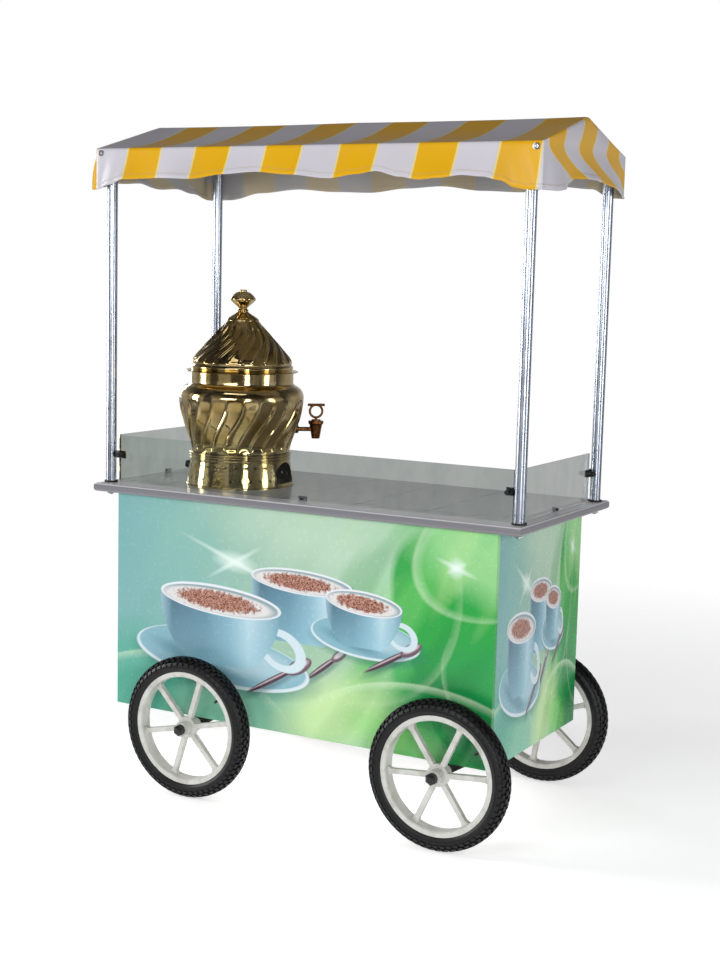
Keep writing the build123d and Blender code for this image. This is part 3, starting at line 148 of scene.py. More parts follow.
def artwork_group(ellipse):
    """Colour of the film at a place (u, v) in metres on the front panel: three cups on a green swirl."""
    group, given = blank_group("film_artwork", [("Place", "Vector", (0, 0, 0))], [("Color", "Color")])
    place = given["Place"]
    u, v, _ = add(group, "SeparateXYZ", place).node.outputs

    def mask(centre, radii, turn=0.0, soft=0.03, strength=1.0):
        """Turned ellipse with a soft edge; turn is in degrees."""
        shape = add(group, "Group", Place=place, Centre=(*centre, 0), Radii=(*radii, 1),
                    Turn=math.radians(-turn), Softness=soft, node_tree=ellipse)
        return add(group, "Math", shape, strength, operation="MULTIPLY") if strength != 1.0 else shape

    def both(first, second):
        return add(group, "Math", first, second, operation="MULTIPLY")

    def outside(first):
        return add(group, "Math", 1.0, first, operation="SUBTRACT")

    # ground: pale teal at the left, through sage, to a full green at the right
    haze = add(group, "TexNoise", Vector=place, Scale=3.0, Detail=2.0)
    wander = add(group, "Math", haze, 0.24, add(group, "Math", u, 0.12, operation="SUBTRACT"),
                 operation="MULTIPLY_ADD")
    across = add(group, "MapRange", wander, -0.62, 0.62)
    colour = add(group, "ValToRGB", across,
                 stops=[(0.0, "#7CB0B1"), (0.22, "#8ABAB2"), (0.42, "#9FC2AE"), (0.6, "#A5C7AA"),
                        (0.78, "#88CC8C"), (1.0, "#52BA66")])
    layers = [
        ((-0.62, 0.20), (0.55, 0.24), 12, 0.45, "#52AC94", 0.75),
        ((-0.56, 0.24), (0.34, 0.09), 24, 0.30, "#329B7F", 0.50),
        ((-0.10, 0.22), (0.32, 0.13), 0, 0.60, "#82C3A2", 0.60),
        ((0.12, 0.84), (0.36, 0.16), -8, 0.80, "#BFD9C4", 0.65),
        ((0.66, 0.58), (0.33, 0.42), -24, 0.05, "#4DB95B", 0.85),
        ((0.60, 0.50), (0.20, 0.40), 38, 0.07, "#22A040", 0.92),
        ((0.34, 0.60), (0.28, 0.045), 58, 0.9, "#63BF62", 0.80),
        ((0.62, 0.80), (0.30, 0.12), -18, 0.70, "#9BD897", 0.80),
        ((0.50, 0.40), (0.30, 0.12), 24, 0.60, "#219E4C", 0.85),
        ((0.60, 0.32), (0.24, 0.09), -28, 0.35, "#118645", 0.75),
        ((0.62, 0.24), (0.20, 0.08), 0, 0.60, "#0B7340", 0.80),
        ((0.14, 0.30), (0.17, 0.09), 24, 0.90, "#C6E79F", 0.80),
        ((0.33, 0.27), (0.13, 0.05), -12, 0.80, "#8FDA7C", 0.70),
    ]
    for centre, radii, turn, soft, code, strength in layers:
        colour = add(group, "Mix", mask(centre, radii, turn, soft, strength), colour, code,
                     data_type="RGBA")
    # soft folds of light running down to the left, stronger on the green
    slanted = add(group, "Mapping", Vector=place, Rotation=(0, 0, math.radians(58)),
                  Scale=(0.62, 0.13, 1.0), vector_type="TEXTURE")
    folds = add(group, "TexNoise", Vector=slanted, Scale=1.0, Detail=1.5, Distortion=0.5)
    green = add(group, "MapRange", u, -0.05, 0.45, 0.12, 1.0)
    colour = add(group, "Mix", add(group, "Math", add(group, "MapRange", folds, 0.54, 0.7, 0, 0.34),
                                   green, operation="MULTIPLY"), colour, "#BDE79C", data_type="RGBA")
    colour = add(group, "Mix", add(group, "Math", add(group, "MapRange", folds, 0.46, 0.34, 0, 0.5),
                                   green, operation="MULTIPLY"), colour, "#168A40", data_type="RGBA")
    # bright ribbons: thin crescents left between two ellipses, each fading out along its run
    ribbons = [
        ((0.40, 0.16), (0.43, 0.265), 0, 0.018, 0.972, 0.45, (0.45, 0.42), (0.36, 0.12)),
        ((0.16, 0.72), (0.34, 0.40), 35, 0.020, 0.965, 0.26, (0.42, 0.50), (0.22, 0.22)),
        ((0.70, 0.86), (0.36, 0.20), 28, 0.030, 0.950, 0.55, (0.50, 0.70), (0.26, 0.16)),
        ((-0.44, 0.02), (0.52, 0.385), 8, 0.014, 0.975, 0.45, (-0.36, 0.38), (0.36, 0.10)),
        ((0.70, 0.46), (0.24, 0.20), -18, 0.020, 0.960, 0.45, (0.55, 0.34), (0.20, 0.14)),
    ]
    for centre, radii, turn, soft, share, strength, shown, reach in ribbons:
        inner = mask((centre[0], centre[1] - 0.007), (radii[0] * share, radii[1] * share), turn, soft * 4)
        crescent = both(mask(centre, radii, turn, soft, strength), outside(inner))
        ring = both(crescent, mask(shown, reach, 0, 1.4))
        colour = add(group, "Mix", ring, colour, "#E2F6D6", data_type="RGBA")
    # two soft glints
    for at, size in (((-0.20, 0.695), 1.0), ((0.50, 0.755), 0.34)):
        for turn, length in ((-20, 0.11), (30, 0.06)):
            colour = add(group, "Mix", mask(at, (length * size, 0.005), turn, 1.9, 0.8), colour,
                         "#E6F6EF", data_type="RGBA")
        colour = add(group, "Mix", mask(at, (0.045 * size, 0.018), -8, 1.8, 0.9), colour, "#E6F6EF",
                     data_type="RGBA")

    crumbs = add(group, "TexNoise", Vector=place, Scale=210.0, Detail=3.0, Distortion=1.5)
    speckle = add(group, "MapRange", crumbs, 0.42, 0.58)
    scatter = add(group, "TexNoise", Vector=place, Scale=95.0, Detail=3.0)

    def spoon(base, tip, bowl):
        """Dark steel spoon from base to tip, with its bowl at the tip."""
        run = (tip[0] - base[0], tip[1] - base[1])
        turn = math.degrees(math.atan2(run[1], run[0]))
        middle = ((base[0] + tip[0]) / 2, (base[1] + tip[1]) / 2)
        length = math.hypot(*run) / 2
        shaded = colour
        shaded = add(group, "Mix", mask((middle[0] + 0.004, middle[1] - 0.01), (length, 0.012), turn, 0.9,
                                        0.5), shaded, "#27505C", data_type="RGBA")
        shaded = add(group, "Mix", mask(middle, (length, 0.0085), turn, 0.25), shaded, "#4B3441",
                     data_type="RGBA")
        shaded = add(group, "Mix", mask((middle[0], middle[1] + 0.003), (length * 0.9, 0.0025), turn,
                                        0.6), shaded, "#B9A7AE", data_type="RGBA")
        shaded = add(group, "Mix", mask(tip, (bowl, bowl * 0.45), turn, 0.1), shaded, "#6B5560",
                     data_type="RGBA")
        return add(group, "Mix", mask((tip[0], tip[1] + 0.003), (bowl * 0.7, bowl * 0.22), turn, 0.6),
                   shaded, "#D6CBD0", data_type="RGBA")

    def saucer(centre, wide, tall, turn):
        shaded = add(group, "Mix", mask((centre[0] + 0.01, centre[1] - 0.016), (wide * 1.03, tall), turn,
                                        0.25, 0.45), colour, "#1F6A63", data_type="RGBA")
        shaded = add(group, "Mix", mask(centre, (wide, tall), turn, 0.02), shaded, "#D3E2E8",
                     data_type="RGBA")
        shaded = add(group, "Mix", mask((centre[0], centre[1] + tall * 0.05), (wide * 0.965, tall * 0.93),
                                        turn, 0.03), shaded, "#86B3C1", data_type="RGBA")
        shaded = add(group, "Mix", mask((centre[0] + wide * 0.2, centre[1] + tall * 0.1),
                                        (wide * 0.62, tall * 0.6), turn, 0.5), shaded, "#A8C9D4",
                     data_type="RGBA")
        return add(group, "Mix", mask((centre[0] - wide * 0.25, centre[1] - tall * 0.25),
                                      (wide * 0.5, tall * 0.3), turn - 12, 0.7, 0.8), shaded, "#5F8FA0",
                   data_type="RGBA")

    def cup(centre, wide, tall, foot, turn):
        """Wide cup seen from above: bowl, handle, rim, froth and a dusting of spice."""
        x, y = centre
        deep = y - foot
        ring = (x + wide * 1.02, y - deep * 0.62)
        grip = both(mask(ring, (wide * 0.40, deep * 0.30), -22, 0.05),
                    outside(mask((ring[0] - wide * 0.03, ring[1]), (wide * 0.27, deep * 0.19), -26, 0.07)))
        shaded = add(group, "Mix", grip, colour, "#CFE0E8", data_type="RGBA")
        below = add(group, "Math", add(group, "Math", y + tall * 0.2, v, operation="SUBTRACT"), 400.0,
                    operation="MULTIPLY", use_clamp=True)
        above = add(group, "Math", add(group, "Math", v, foot, operation="SUBTRACT"), 400.0,
                    operation="MULTIPLY", use_clamp=True)
        bowl = both(both(mask((x, y), (wide, deep * 1.13), 0, 0.012), below), above)
        round_it = add(group, "MapRange", u, x - wide, x + wide)
        skin = add(group, "ValToRGB", round_it,
                   stops=[(0.0, "#9DBBC9"), (0.1, "#4E7084"), (0.38, "#5F879B"), (0.6, "#8DB6C8"),
                          (0.74, "#BEDAE4"), (0.9, "#94B9C8"), (1.0, "#7097A9")])
        drop = add(group, "MapRange", v, foot, y)
        skin = add(group, "Mix", add(group, "Math", outside(drop), 0.55, operation="MULTIPLY"), skin,
                   "#8FC3D3", data_type="RGBA")
        shaded = add(group, "Mix", bowl, shaded, skin, data_type="RGBA")
        shaded = add(group, "Mix", mask(centre, (wide, tall), turn, 0.02), shaded, "#E4E9EE",
                     data_type="RGBA")
        shaded = add(group, "Mix", mask((x, y - tall * 0.03), (wide * 0.955, tall * 0.86), turn, 0.05),
                     shaded, "#8EA5AB", data_type="RGBA")
        shaded = add(group, "Mix", mask((x - wide * 0.045, y - tall * 0.1), (wide * 0.9, tall * 0.78),
                                        turn, 0.16), shaded, "#DFDCDC", data_type="RGBA")
        dust = mask((x - wide * 0.05, y - tall * 0.04), (wide * 0.66, tall * 0.62), turn, 0.75)
        ragged = add(group, "MapRange", add(group, "Math", dust,
                                            add(group, "Math", scatter, 1.3, operation="MULTIPLY"),
                                            operation="ADD"), 1.0, 1.3)
        spice = add(group, "Mix", speckle, "#C89A88", "#6A2E1E", data_type="RGBA")
        return add(group, "Mix", ragged, shaded, spice, data_type="RGBA")

    colour = cup((0.022, 0.662), 0.166, 0.035, 0.485, -2)
    colour = spoon((0.045, 0.388), (0.150, 0.470), 0.030)
    colour = saucer((0.228, 0.528), 0.172, 0.056, -3)
    colour = spoon((0.232, 0.436), (0.372, 0.516), 0.036)
    colour = cup((0.222, 0.626), 0.120, 0.034, 0.500, -4)
    colour = saucer((-0.245, 0.408), 0.300, 0.080, -4)
    colour = spoon((-0.150, 0.322), (0.020, 0.420), 0.046)
    colour = cup((-0.250, 0.577), 0.208, 0.044, 0.385, -3)
    add(group, "NodeGroupOutput", colour)
    return group


def printed_film(name, artwork, run, stretch):
    """Digitally printed vinyl film under a gloss laminate: even colour, small soft reflections,
    and a faint ripple where the film was rolled on to the board."""
    material, tree = blank_finish(name)
    apart = add(tree, "SeparateXYZ", add(tree, "TexCoord").node.outputs["Object"]).node.outputs
    along = add(tree, "Math", apart[run], stretch, operation="MULTIPLY")
    picture = add(tree, "Group", add(tree, "CombineXYZ", along, apart[2]), node_tree=artwork)
    # the film is wrapped round the upright edges, and the level cuts show the board's pale core
    facing = add(tree, "SeparateXYZ", add(tree, "NewGeometry").node.outputs["Normal"]).node.outputs
    film = add(tree, "MapRange", add(tree, "Math", facing[2], operation="ABSOLUTE"), 0.6, 0.5)
    chips = add(tree, "Group", 6, (1, 1, 4), node_tree=GRAIN)
    core = add(tree, "Mix", chips, "#CFC7B6", "#B9AE98", data_type="RGBA")
    colour = add(tree, "Mix", film, core, picture, data_type="RGBA")
    rough = add(tree, "MapRange", add(tree, "Group", 14, node_tree=GRAIN), 0.3, 0.7, 0.21, 0.29)
    ripple = add(tree, "Group", 90, Detail=1.0, node_tree=GRAIN)
    bump = add(tree, "Bump", Height=ripple, Distance=0.5 * MM, Strength=0.35)
    skin = add(tree, "BsdfPrincipled", colour, Roughness=rough, Normal=bump, IOR=1.5)
    add(tree, "OutputMaterial", skin)
    return material


# ---------------------------------------------------------------- finishes
EDGE_BAND = (2.5, 5.0)
GROOVE_BAND = (0.1, 0.5, 0.9, 1.2)


def counter_laminate():
    """Grey high-pressure laminate, satin: a fine drawn grain along the planks, painted shade as dark
    lines in the grooves, and a darker postformed edge."""
    material, tree = blank_finish("grey_laminate")
    fine = add(tree, "Group", 3.0, (0.08, 1, 1), 4, 0.6, node_tree=GRAIN)
    broad = add(tree, "Group", 120, (1, 2, 1), 2, node_tree=GRAIN)
    colour = add(tree, "Mix", add(tree, "MapRange", fine, 0.3, 0.7), "#D2D2D6", "#DEDEE1", data_type="RGBA")
    cloudy = add(tree, "MapRange", broad, 0.35, 0.65, 0, 0.35)
    colour = add(tree, "Mix", cloudy, colour, "#DEDEE0", data_type="RGBA")
    height = add(tree, "SeparateXYZ", add(tree, "TexCoord").node.outputs["Object"]).node.outputs[2]
    top = COUNTER[1].z
    edge = add(tree, "MapRange", height, *[top - down * MM for down in EDGE_BAND])
    colour = add(tree, "Mix", edge, colour, "#7E7D83", data_type="RGBA")
    # painted shade: the walls and floor of the grooves, 0.1 to 1.2 mm below the top, are drawn darker
    below_top = add(tree, "MapRange", height, *[top - down * MM for down in GROOVE_BAND[:2]])
    above_floor = add(tree, "MapRange", height, *[top - down * MM for down in GROOVE_BAND[:1:-1]])
    sunk = add(tree, "Math", below_top, above_floor, operation="MULTIPLY")
    groove_shade = add(tree, "Math", sunk, 0.8, operation="MULTIPLY")
    colour = add(tree, "Mix", groove_shade, colour, "#3F3F44", data_type="RGBA")
    rough = add(tree, "MapRange", fine, 0.2, 0.8, 0.17, 0.27)
    bump = add(tree, "Bump", Height=fine, Distance=0.05 * MM, Strength=0.3)
    add(tree, "OutputMaterial", add(tree, "BsdfPrincipled", colour, Roughness=rough, Normal=bump, IOR=1.5))
    return material


def white_board():
    """White melamine-faced chipboard: flat white, slightly pebbled, a little grime."""
    material, tree = blank_finish("white_melamine")
    grime = add(tree, "MapRange", add(tree, "Group", 70, node_tree=GRAIN), 0.4, 0.75, 0, 0.5)
    colour = add(tree, "Mix", grime, "#E4E3DF", "#D2D0C9", data_type="RGBA")
    pebble = add(tree, "Group", 2.0, Detail=1.0, node_tree=GRAIN)
    rough = add(tree, "MapRange", pebble, 0.2, 0.8, 0.32, 0.45)
    bump = add(tree, "Bump", Height=pebble, Distance=0.08 * MM, Strength=0.4)
    add(tree, "OutputMaterial", add(tree, "BsdfPrincipled", colour, Roughness=rough, Normal=bump, IOR=1.5))
    return material


def door_sheet():
    """White compact sheet, semi-gloss, with faint rub marks along its travel."""
    material, tree = blank_finish("white_compact_sheet")
    rubs = add(tree, "Group", 8, (0.04, 1, 1), 4, node_tree=GRAIN)
    marked = add(tree, "MapRange", rubs, 0.55, 0.8, 0, 0.5)
    colour = add(tree, "Mix", marked, "#DDDFDD", "#C4C7C6", data_type="RGBA")
    rough = add(tree, "MapRange", rubs, 0.2, 0.8, 0.18, 0.34)
    bump = add(tree, "Bump", Height=rubs, Distance=0.04 * MM, Strength=0.3)
    add(tree, "OutputMaterial", add(tree, "BsdfPrincipled", colour, Roughness=rough, Normal=bump, IOR=1.5))
    return material


def drawn_metal(name, dark, light, along, rough, streak_mm=1.2):
    """Drawn or rolled metal: streaks along the run, with a slow drift in tone."""
    material, tree = blank_finish(name)
    stretch = [0.03 if axis == along else 1.0 for axis in "xyz"]
    streaks = add(tree, "Group", streak_mm, stretch, 4, 0.65, node_tree=GRAIN)
    drift = add(tree, "Group", 60, Detail=2, node_tree=GRAIN)
    half_streaks = add(tree, "Math", streaks, 0.5, operation="MULTIPLY")
    tone = add(tree, "Math", drift, 0.5, half_streaks, operation="MULTIPLY_ADD")
    colour = add(tree, "Mix", add(tree, "MapRange", tone, 0.35, 0.65), dark, light, data_type="RGBA")
    worn = add(tree, "MapRange", streaks, 0.25, 0.75, rough * 0.75, rough * 1.3)
    bump = add(tree, "Bump", Height=streaks, Distance=0.02 * MM, Strength=0.3)
    skin = add(tree, "BsdfPrincipled", colour, Roughness=worn, Normal=bump, Metallic=1.0)
    add(tree, "OutputMaterial", skin)
    return material


def chromed_tube():
    """Chromed steel tube: blue-grey and even, with a mirror skin that handling has dulled."""
    material, tree = blank_finish("chromed_tube")
    wipe = add(tree, "Group", 14, (1, 1, 0.3), 2, node_tree=GRAIN)
    colour = add(tree, "Mix", add(tree, "MapRange", wipe, 0.35, 0.65), "#A4ABB8", "#B2B9C5", data_type="RGBA")
    rough = add(tree, "MapRange", wipe, 0.3, 0.7, 0.25, 0.31)
    waves = add(tree, "Group", 40, (1, 1, 0.2), 1, node_tree=GRAIN)
    bump = add(tree, "Bump", Height=waves, Distance=0.05 * MM, Strength=0.2)
    metal = add(tree, "BsdfPrincipled", colour, Roughness=rough, Normal=bump, Metallic=1.0)
    add(tree, "OutputMaterial", metal)
    return material


def cast_or_enamelled(name, base, worn, rough, pebble_mm, metallic=0.0):
    """Black enamel or plain cast iron: pebbled, and worn paler here and there."""
    material, tree = blank_finish(name)
    pebble = add(tree, "Group", pebble_mm, Detail=2, node_tree=GRAIN)
    wear = add(tree, "MapRange", add(tree, "Group", 22, Detail=4, Roughness=0.7, node_tree=GRAIN), 0.55, 0.72)
    colour = add(tree, "Mix", wear, base, worn, data_type="RGBA")
    skin = add(tree, "MapRange", pebble, 0.2, 0.8, rough * 0.8, rough * 1.2)
    bump = add(tree, "Bump", Height=pebble, Distance=0.12 * MM, Strength=0.5)
    add(tree, "OutputMaterial", add(tree, "BsdfPrincipled", colour, Roughness=skin, Normal=bump,
                                    Metallic=metallic, IOR=1.5))
    return material


def moulded(name, base, dusty, rough):
    """Injection-moulded plastic: a fine spark-eroded skin and a film of dust in places."""
    material, tree = blank_finish(name)
    dust = add(tree, "MapRange", add(tree, "Group", 45, Detail=5, Roughness=0.65, node_tree=GRAIN), 0.45, 0.7)
    colour = add(tree, "Mix", dust, base, dusty, data_type="RGBA")
    skin = add(tree, "Group", 1.5, Detail=1, node_tree=GRAIN)
    eroded = add(tree, "MapRange", skin, 0.2, 0.8, rough * 0.85, rough * 1.15)
    bump = add(tree, "Bump", Height=skin, Distance=0.05 * MM, Strength=0.4)
    add(tree, "OutputMaterial", add(tree, "BsdfPrincipled", colour, Roughness=eroded, Normal=bump, IOR=1.46))
    return material


def tyre_rubber():
    """Vulcanised black rubber: matt and nearly black, with a little dust on its high places."""
    material, tree = blank_finish("black_tyre_rubber")
    dust = add(tree, "MapRange", add(tree, "Group", 18, Detail=5, Roughness=0.7, node_tree=GRAIN), 0.45, 0.75)
    colour = add(tree, "Mix", dust, "#070709", "#131316", data_type="RGBA")
    skin = add(tree, "Group", 2.2, Detail=2, node_tree=GRAIN)
    rough = add(tree, "MapRange", skin, 0.2, 0.8, 0.38, 0.52)
    bump = add(tree, "Bump", Height=skin, Distance=0.15 * MM, Strength=0.5)
    add(tree, "OutputMaterial", add(tree, "BsdfPrincipled", colour, Roughness=rough, Normal=bump, IOR=1.5,
                                    Specular_IOR_Level=0.35))
    return material


def guard_glass():
    """Clear float glass: nearly no colour through the face, green-grey along the cut edges."""
    material, tree = blank_finish("float_glass")
    smear = add(tree, "Group", 60, (1, 1, 0.5), 4, 0.6, node_tree=GRAIN)
    colour = add(tree, "Mix", add(tree, "MapRange", smear, 0.4, 0.7), "#F2F7F4", "#E3ECE8", data_type="RGBA")
    rough = add(tree, "MapRange", smear, 0.5, 0.8, 0.0, 0.05)
    add(tree, "OutputMaterial", add(tree, "BsdfPrincipled", colour, Roughness=rough, IOR=1.52,
                                    Transmission_Weight=1.0))
    return material


def urn_brass():
    """Polished sheet brass: bright and slightly uneven from the planishing hammer, with brown
    patina left in the hollows of the flutes, and painted shade as a dark ring round the pressed flower's
    domes."""
    material, tree = blank_finish("polished_brass")
    drift = add(tree, "Group", 55, Detail=3, node_tree=GRAIN)
    spots = add(tree, "MapRange", add(tree, "Group", 9, Detail=5, Roughness=0.7, node_tree=GRAIN), 0.56, 0.72)
    uneven = add(tree, "MapRange", drift, 0.35, 0.65)
    colour = add(tree, "Mix", uneven, "#CBB68A", "#A48D58", data_type="RGBA")
    spotted = add(tree, "Math", spots, 0.35, operation="MULTIPLY")
    colour = add(tree, "Mix", spotted, colour, "#A58A55", data_type="RGBA")
    hollow = add(tree, "Attribute", attribute_name="hollow").node.outputs["Fac"]
    # the hollow value darkens the brass: brown patina in the flutes' hollows, and painted shade in a ring
    # round each dome of the pressed flower
    tarnish_and_shade = add(tree, "Math", hollow, 0.6, operation="MULTIPLY")
    colour = add(tree, "Mix", tarnish_and_shade, colour, "#86703F", data_type="RGBA")
    polish = add(tree, "MapRange", drift, 0.3, 0.7, 0.07, 0.13)
    rough = add(tree, "Math", spots, 0.10, polish, operation="MULTIPLY_ADD")
    hammered = add(tree, "Group", 26, Detail=1, node_tree=GRAIN)
    dents = add(tree, "Bump", Height=hammered, Distance=0.9 * MM, Strength=0.35)
    scuffed = add(tree, "Group", 5, Detail=2, node_tree=GRAIN)
    bump = add(tree, "Bump", Height=scuffed, Distance=0.05 * MM, Strength=0.3, Normal=dents)
    metal = add(tree, "BsdfPrincipled", colour, Roughness=rough, Normal=bump, Metallic=1.0)
    add(tree, "OutputMaterial", metal)
    return material


def tap_bronze():
    """Sand-cast bronze gone dark brown, rubbed brighter on its high places."""
    material, tree = blank_finish("dark_cast_bronze")
    rub = add(tree, "MapRange", add(tree, "Group", 6, Detail=4, Roughness=0.7, node_tree=GRAIN), 0.45, 0.7)
    colour = add(tree, "Mix", rub, "#5C3A22", "#9A6A3E", data_type="RGBA")
    skin = add(tree, "Group", 1.2, Detail=2, node_tree=GRAIN)
    rough = add(tree, "MapRange", skin, 0.2, 0.8, 0.28, 0.45)
    bump = add(tree, "Bump", Height=skin, Distance=0.12 * MM, Strength=0.5)
    metal = add(tree, "BsdfPrincipled", colour, Roughness=rough, Normal=bump, Metallic=1.0)
    add(tree, "OutputMaterial", metal)
    return material


STRIPE_PITCH = 0.117
PIPING_HALF = (0.032, 0.018)
STITCH_PITCH = 0.005
STITCH_ABOVE_HEM = 0.014
STITCH_HALF_WIDTH = 0.0009
WEAVE_SCALE = 260.0


def canopy_cloth(name, yellow, white, piping):
    """PVC-coated polyester: broad stripes with a thin cream piping between them, a fine plain
    weave under the coat, a stitched hem. The stitches are drawn 5 mm long so that they show."""
    material, tree = blank_finish(name)
    flat = add(tree, "UVMap", uv_map="cloth")
    along = add(tree, "SeparateXYZ", flat).node.outputs[0]
    count = add(tree, "Math", along, STRIPE_PITCH, operation="DIVIDE")
    pair = add(tree, "Math", add(tree, "Math", count, 0.5, operation="MULTIPLY"), operation="FRACT")
    which = add(tree, "Math", pair, 0.5, operation="GREATER_THAN")
    colour = add(tree, "Mix", which, white, yellow, data_type="RGBA")
    from_left = add(tree, "Math", count, operation="FRACT")
    from_right = add(tree, "Math", 1.0, from_left, operation="SUBTRACT")
    near_edge = add(tree, "Math", from_left, from_right, operation="MINIMUM")
    corded = add(tree, "MapRange", near_edge, *PIPING_HALF)
    colour = add(tree, "Mix", corded, colour, piping, data_type="RGBA")
    soil = add(tree, "MapRange", add(tree, "Group", 130, Detail=4, node_tree=GRAIN), 0.45, 0.75, 0, 0.12)
    colour = add(tree, "Mix", soil, colour, "#8E8674", data_type="RGBA")
    hem = add(tree, "Attribute", attribute_name="above_hem").node.outputs["Fac"]
    from_seam = add(tree, "Math", hem, STITCH_ABOVE_HEM, operation="SUBTRACT")
    line = add(tree, "Math", add(tree, "Math", from_seam, operation="ABSOLUTE"), STITCH_HALF_WIDTH,
               operation="LESS_THAN")
    step = add(tree, "Math", add(tree, "Math", along, STITCH_PITCH, operation="DIVIDE"), operation="FRACT")
    dash = add(tree, "Math", step, 0.3, operation="GREATER_THAN")
    stitch = add(tree, "Math", line, dash, operation="MULTIPLY")
    thread = add(tree, "Math", stitch, 0.6, operation="MULTIPLY")
    colour = add(tree, "Mix", thread, colour, "#C9B98A", data_type="RGBA")
    warp = add(tree, "TexWave", Vector=flat, Scale=WEAVE_SCALE, bands_direction="X").node.outputs["Fac"]
    weft = add(tree, "TexWave", Vector=flat, Scale=WEAVE_SCALE, bands_direction="Y").node.outputs["Fac"]
    weave = add(tree, "Math", warp, weft, operation="MULTIPLY")
    rough = add(tree, "MapRange", weave, 0.0, 1.0, 0.30, 0.40)
    folded = add(tree, "MapRange", hem, STITCH_ABOVE_HEM + MM, STITCH_ABOVE_HEM - MM)
    sunk = add(tree, "Math", stitch, 0.8, operation="MULTIPLY")
    seam = add(tree, "Bump", Height=add(tree, "Math", folded, sunk, operation="SUBTRACT"),
               Distance=0.8 * MM, Strength=0.6)
    bump = add(tree, "Bump", Height=weave, Distance=0.08 * MM, Strength=0.4, Normal=seam)
    add(tree, "OutputMaterial", add(tree, "BsdfPrincipled", colour, Roughness=rough, Normal=bump, IOR=1.42))
    return material


# ---------------------------------------------------------------- mesh helpers
def piece_of(name, mesh, material, body, smooth_angle=35.0):
    """Makes an object of a mesh, gives it its finish and lets it ride on a body."""
    mesh.name = name
    made = bpy.data.objects.new(name, mesh)
    bpy.context.scene.collection.objects.link(made)
    if not mesh.materials:
        mesh.materials.append(material)
    mesh.polygons.foreach_set("use_smooth", [True] * len(mesh.polygons))
    mesh.set_sharp_from_angle(angle=math.radians(smooth_angle))
    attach(made, body)
    return made


def mesh_from(bm, name, outward=True):
    """Closes a bmesh into a mesh, with its doubles merged and its faces turned outwards."""
    bmesh.ops.remove_doubles(bm, verts=bm.verts, dist=0.01 * MM)
    if outward:
        bmesh.ops.recalc_face_normals(bm, faces=bm.faces)
    mesh = bpy.data.meshes.new(name)
    bm.to_mesh(mesh)
    bm.free()
    return mesh


def flowing(points, steps):
    """Smooth run through points (Catmull-Rom), steps to each span."""
    padded = [points[0], *points, points[-1]]
    run = []
    for a, b, c, d in zip(padded, padded[1:], padded[2:], padded[3:]):
        for k in range(steps):
            t = k / steps
            run.append(tuple(0.5 * (2 * q + (r - p) * t + (2 * p - 5 * q + 4 * r - s) * t * t
                                    + (3 * q - p - 3 * r + s) * t ** 3) for p, q, r, s in zip(a, b, c, d)))
    return run + [points[-1]]


def smoothstep(low, high, value):
    t = min(1.0, max(0.0, (value - low) / (high - low)))
    return t * t * (3 - 2 * t)


def turn_on_lathe(bm, profile, around, centre, relief=None, hollow=None):
    """Turns a profile of (radius, height) in metres round Z; relief(angle, radius, height) gives
    how far the wall is pressed in and how deep that hollow is, from 0 to 1."""
    rings = []
    for radius, height in profile:
        ring = []
        for k in range(around):
            angle = 2 * math.pi * k / around
            pressed, depth = relief(angle, radius, height) if relief else (0.0, 0.0)
            r = max(0.0, radius - pressed)
            vertex = bm.verts.new((centre[0] + r * math.cos(angle), centre[1] + r * math.sin(angle),
                                   centre[2] + height))
            if hollow:
                vertex[hollow] = depth
            ring.append(vertex)
        rings.append(ring)
    for low, high in zip(rings, rings[1:]):
        for k in range(around):
            bm.faces.new((low[k], low[(k + 1) % around], high[(k + 1) % around], high[k]))


def lathed(name, profile, around, centre, relief=None):
    bm = bmesh.new()
    hollow = bm.verts.layers.float.new("hollow")
    turn_on_lathe(bm, [(r * MM, z * MM) for r, z in profile], around, centre, relief, hollow)
    return mesh_from(bm, name)


def shell_profile(outer, wall):
    """Outer run of (radius, height) from the axis out, and back along the inside of the wall."""
    points = np.array(outer, float)
    step = np.gradient(points, axis=0)
    normal = np.stack([step[:, 1], -step[:, 0]], 1)
    normal /= np.linalg.norm(normal, axis=1)[:, None] + 1e-12
    inner = points - normal * wall
    inner[:, 0] = np.maximum(inner[:, 0], 0)
    return [tuple(p) for p in points] + [tuple(p) for p in inner[::-1]]


# ---------------------------------------------------------------- urn
POT_FLUTES = 24
LID_FLUTES = 24
FLUTE_DEPTH = 5.8 * MM
RIDGE_WIDTH = 0.10
# hollow value at the edge of each pressed dome: painted shade, a dark ring round the dome
DOME_EDGE_SHADE = 1.6
POT_TWIST = 20
LID_TWIST = 32
WALL = 2.0
LID_INNER_FOOT = 343


def flute(count, bottom, top, twist, depth, fade):
    """Relief of swirled flutes: sharp ridges with a rounded hollow between each two."""
    def relief(angle, radius, height):
        share = (height - bottom) / (top - bottom)
        if share <= 0 or share >= 1 or radius < 20 * MM:
            return 0.0, 0.0
        swing = math.radians(twist) * smoothstep(0.02, 0.85, share)
        across = ((angle - swing) * count / (2 * math.pi)) % 1.0
        from_ridge = min(across, 1 - across) / RIDGE_WIDTH
        dip = 0.70 * (1 - math.exp(-from_ridge * from_ridge)) + 0.30 * math.sin(math.pi * across)
        fade_in = smoothstep(0.0, fade[0], share) * smoothstep(0.0, fade[1], 1 - share)
        return depth * dip * fade_in, dip * fade_in
    return relief


def urn_pot(brass):
    belly = flowing([(146.5, 101), (147, 108), (151, 124), (158.5, 145), (167.5, 170), (176.5, 198),
                     (183, 226), (186, 252), (185.5, 268), (180.5, 282), (171, 292), (160, 298.5),
                     (155, 303)], 6)
    neck = [(154, 306), (154, 318), (154, 330), (154, 333.5), (154, 336.8)]
    outer = [(0, 100.2), (60, 100.2), (140, 100.2), (145.5, 100.4)] + belly + neck
    mesh = lathed("urn_pot", shell_profile(outer, WALL), POT_FLUTES * 20, URN_BASE,
                  flute(POT_FLUTES, 104 * MM, 266 * MM, POT_TWIST, FLUTE_DEPTH, (0.10, 0.24)))
    pot = piece_of("urn_pot", mesh, brass, "urn", 50)
    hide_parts("urn_body")


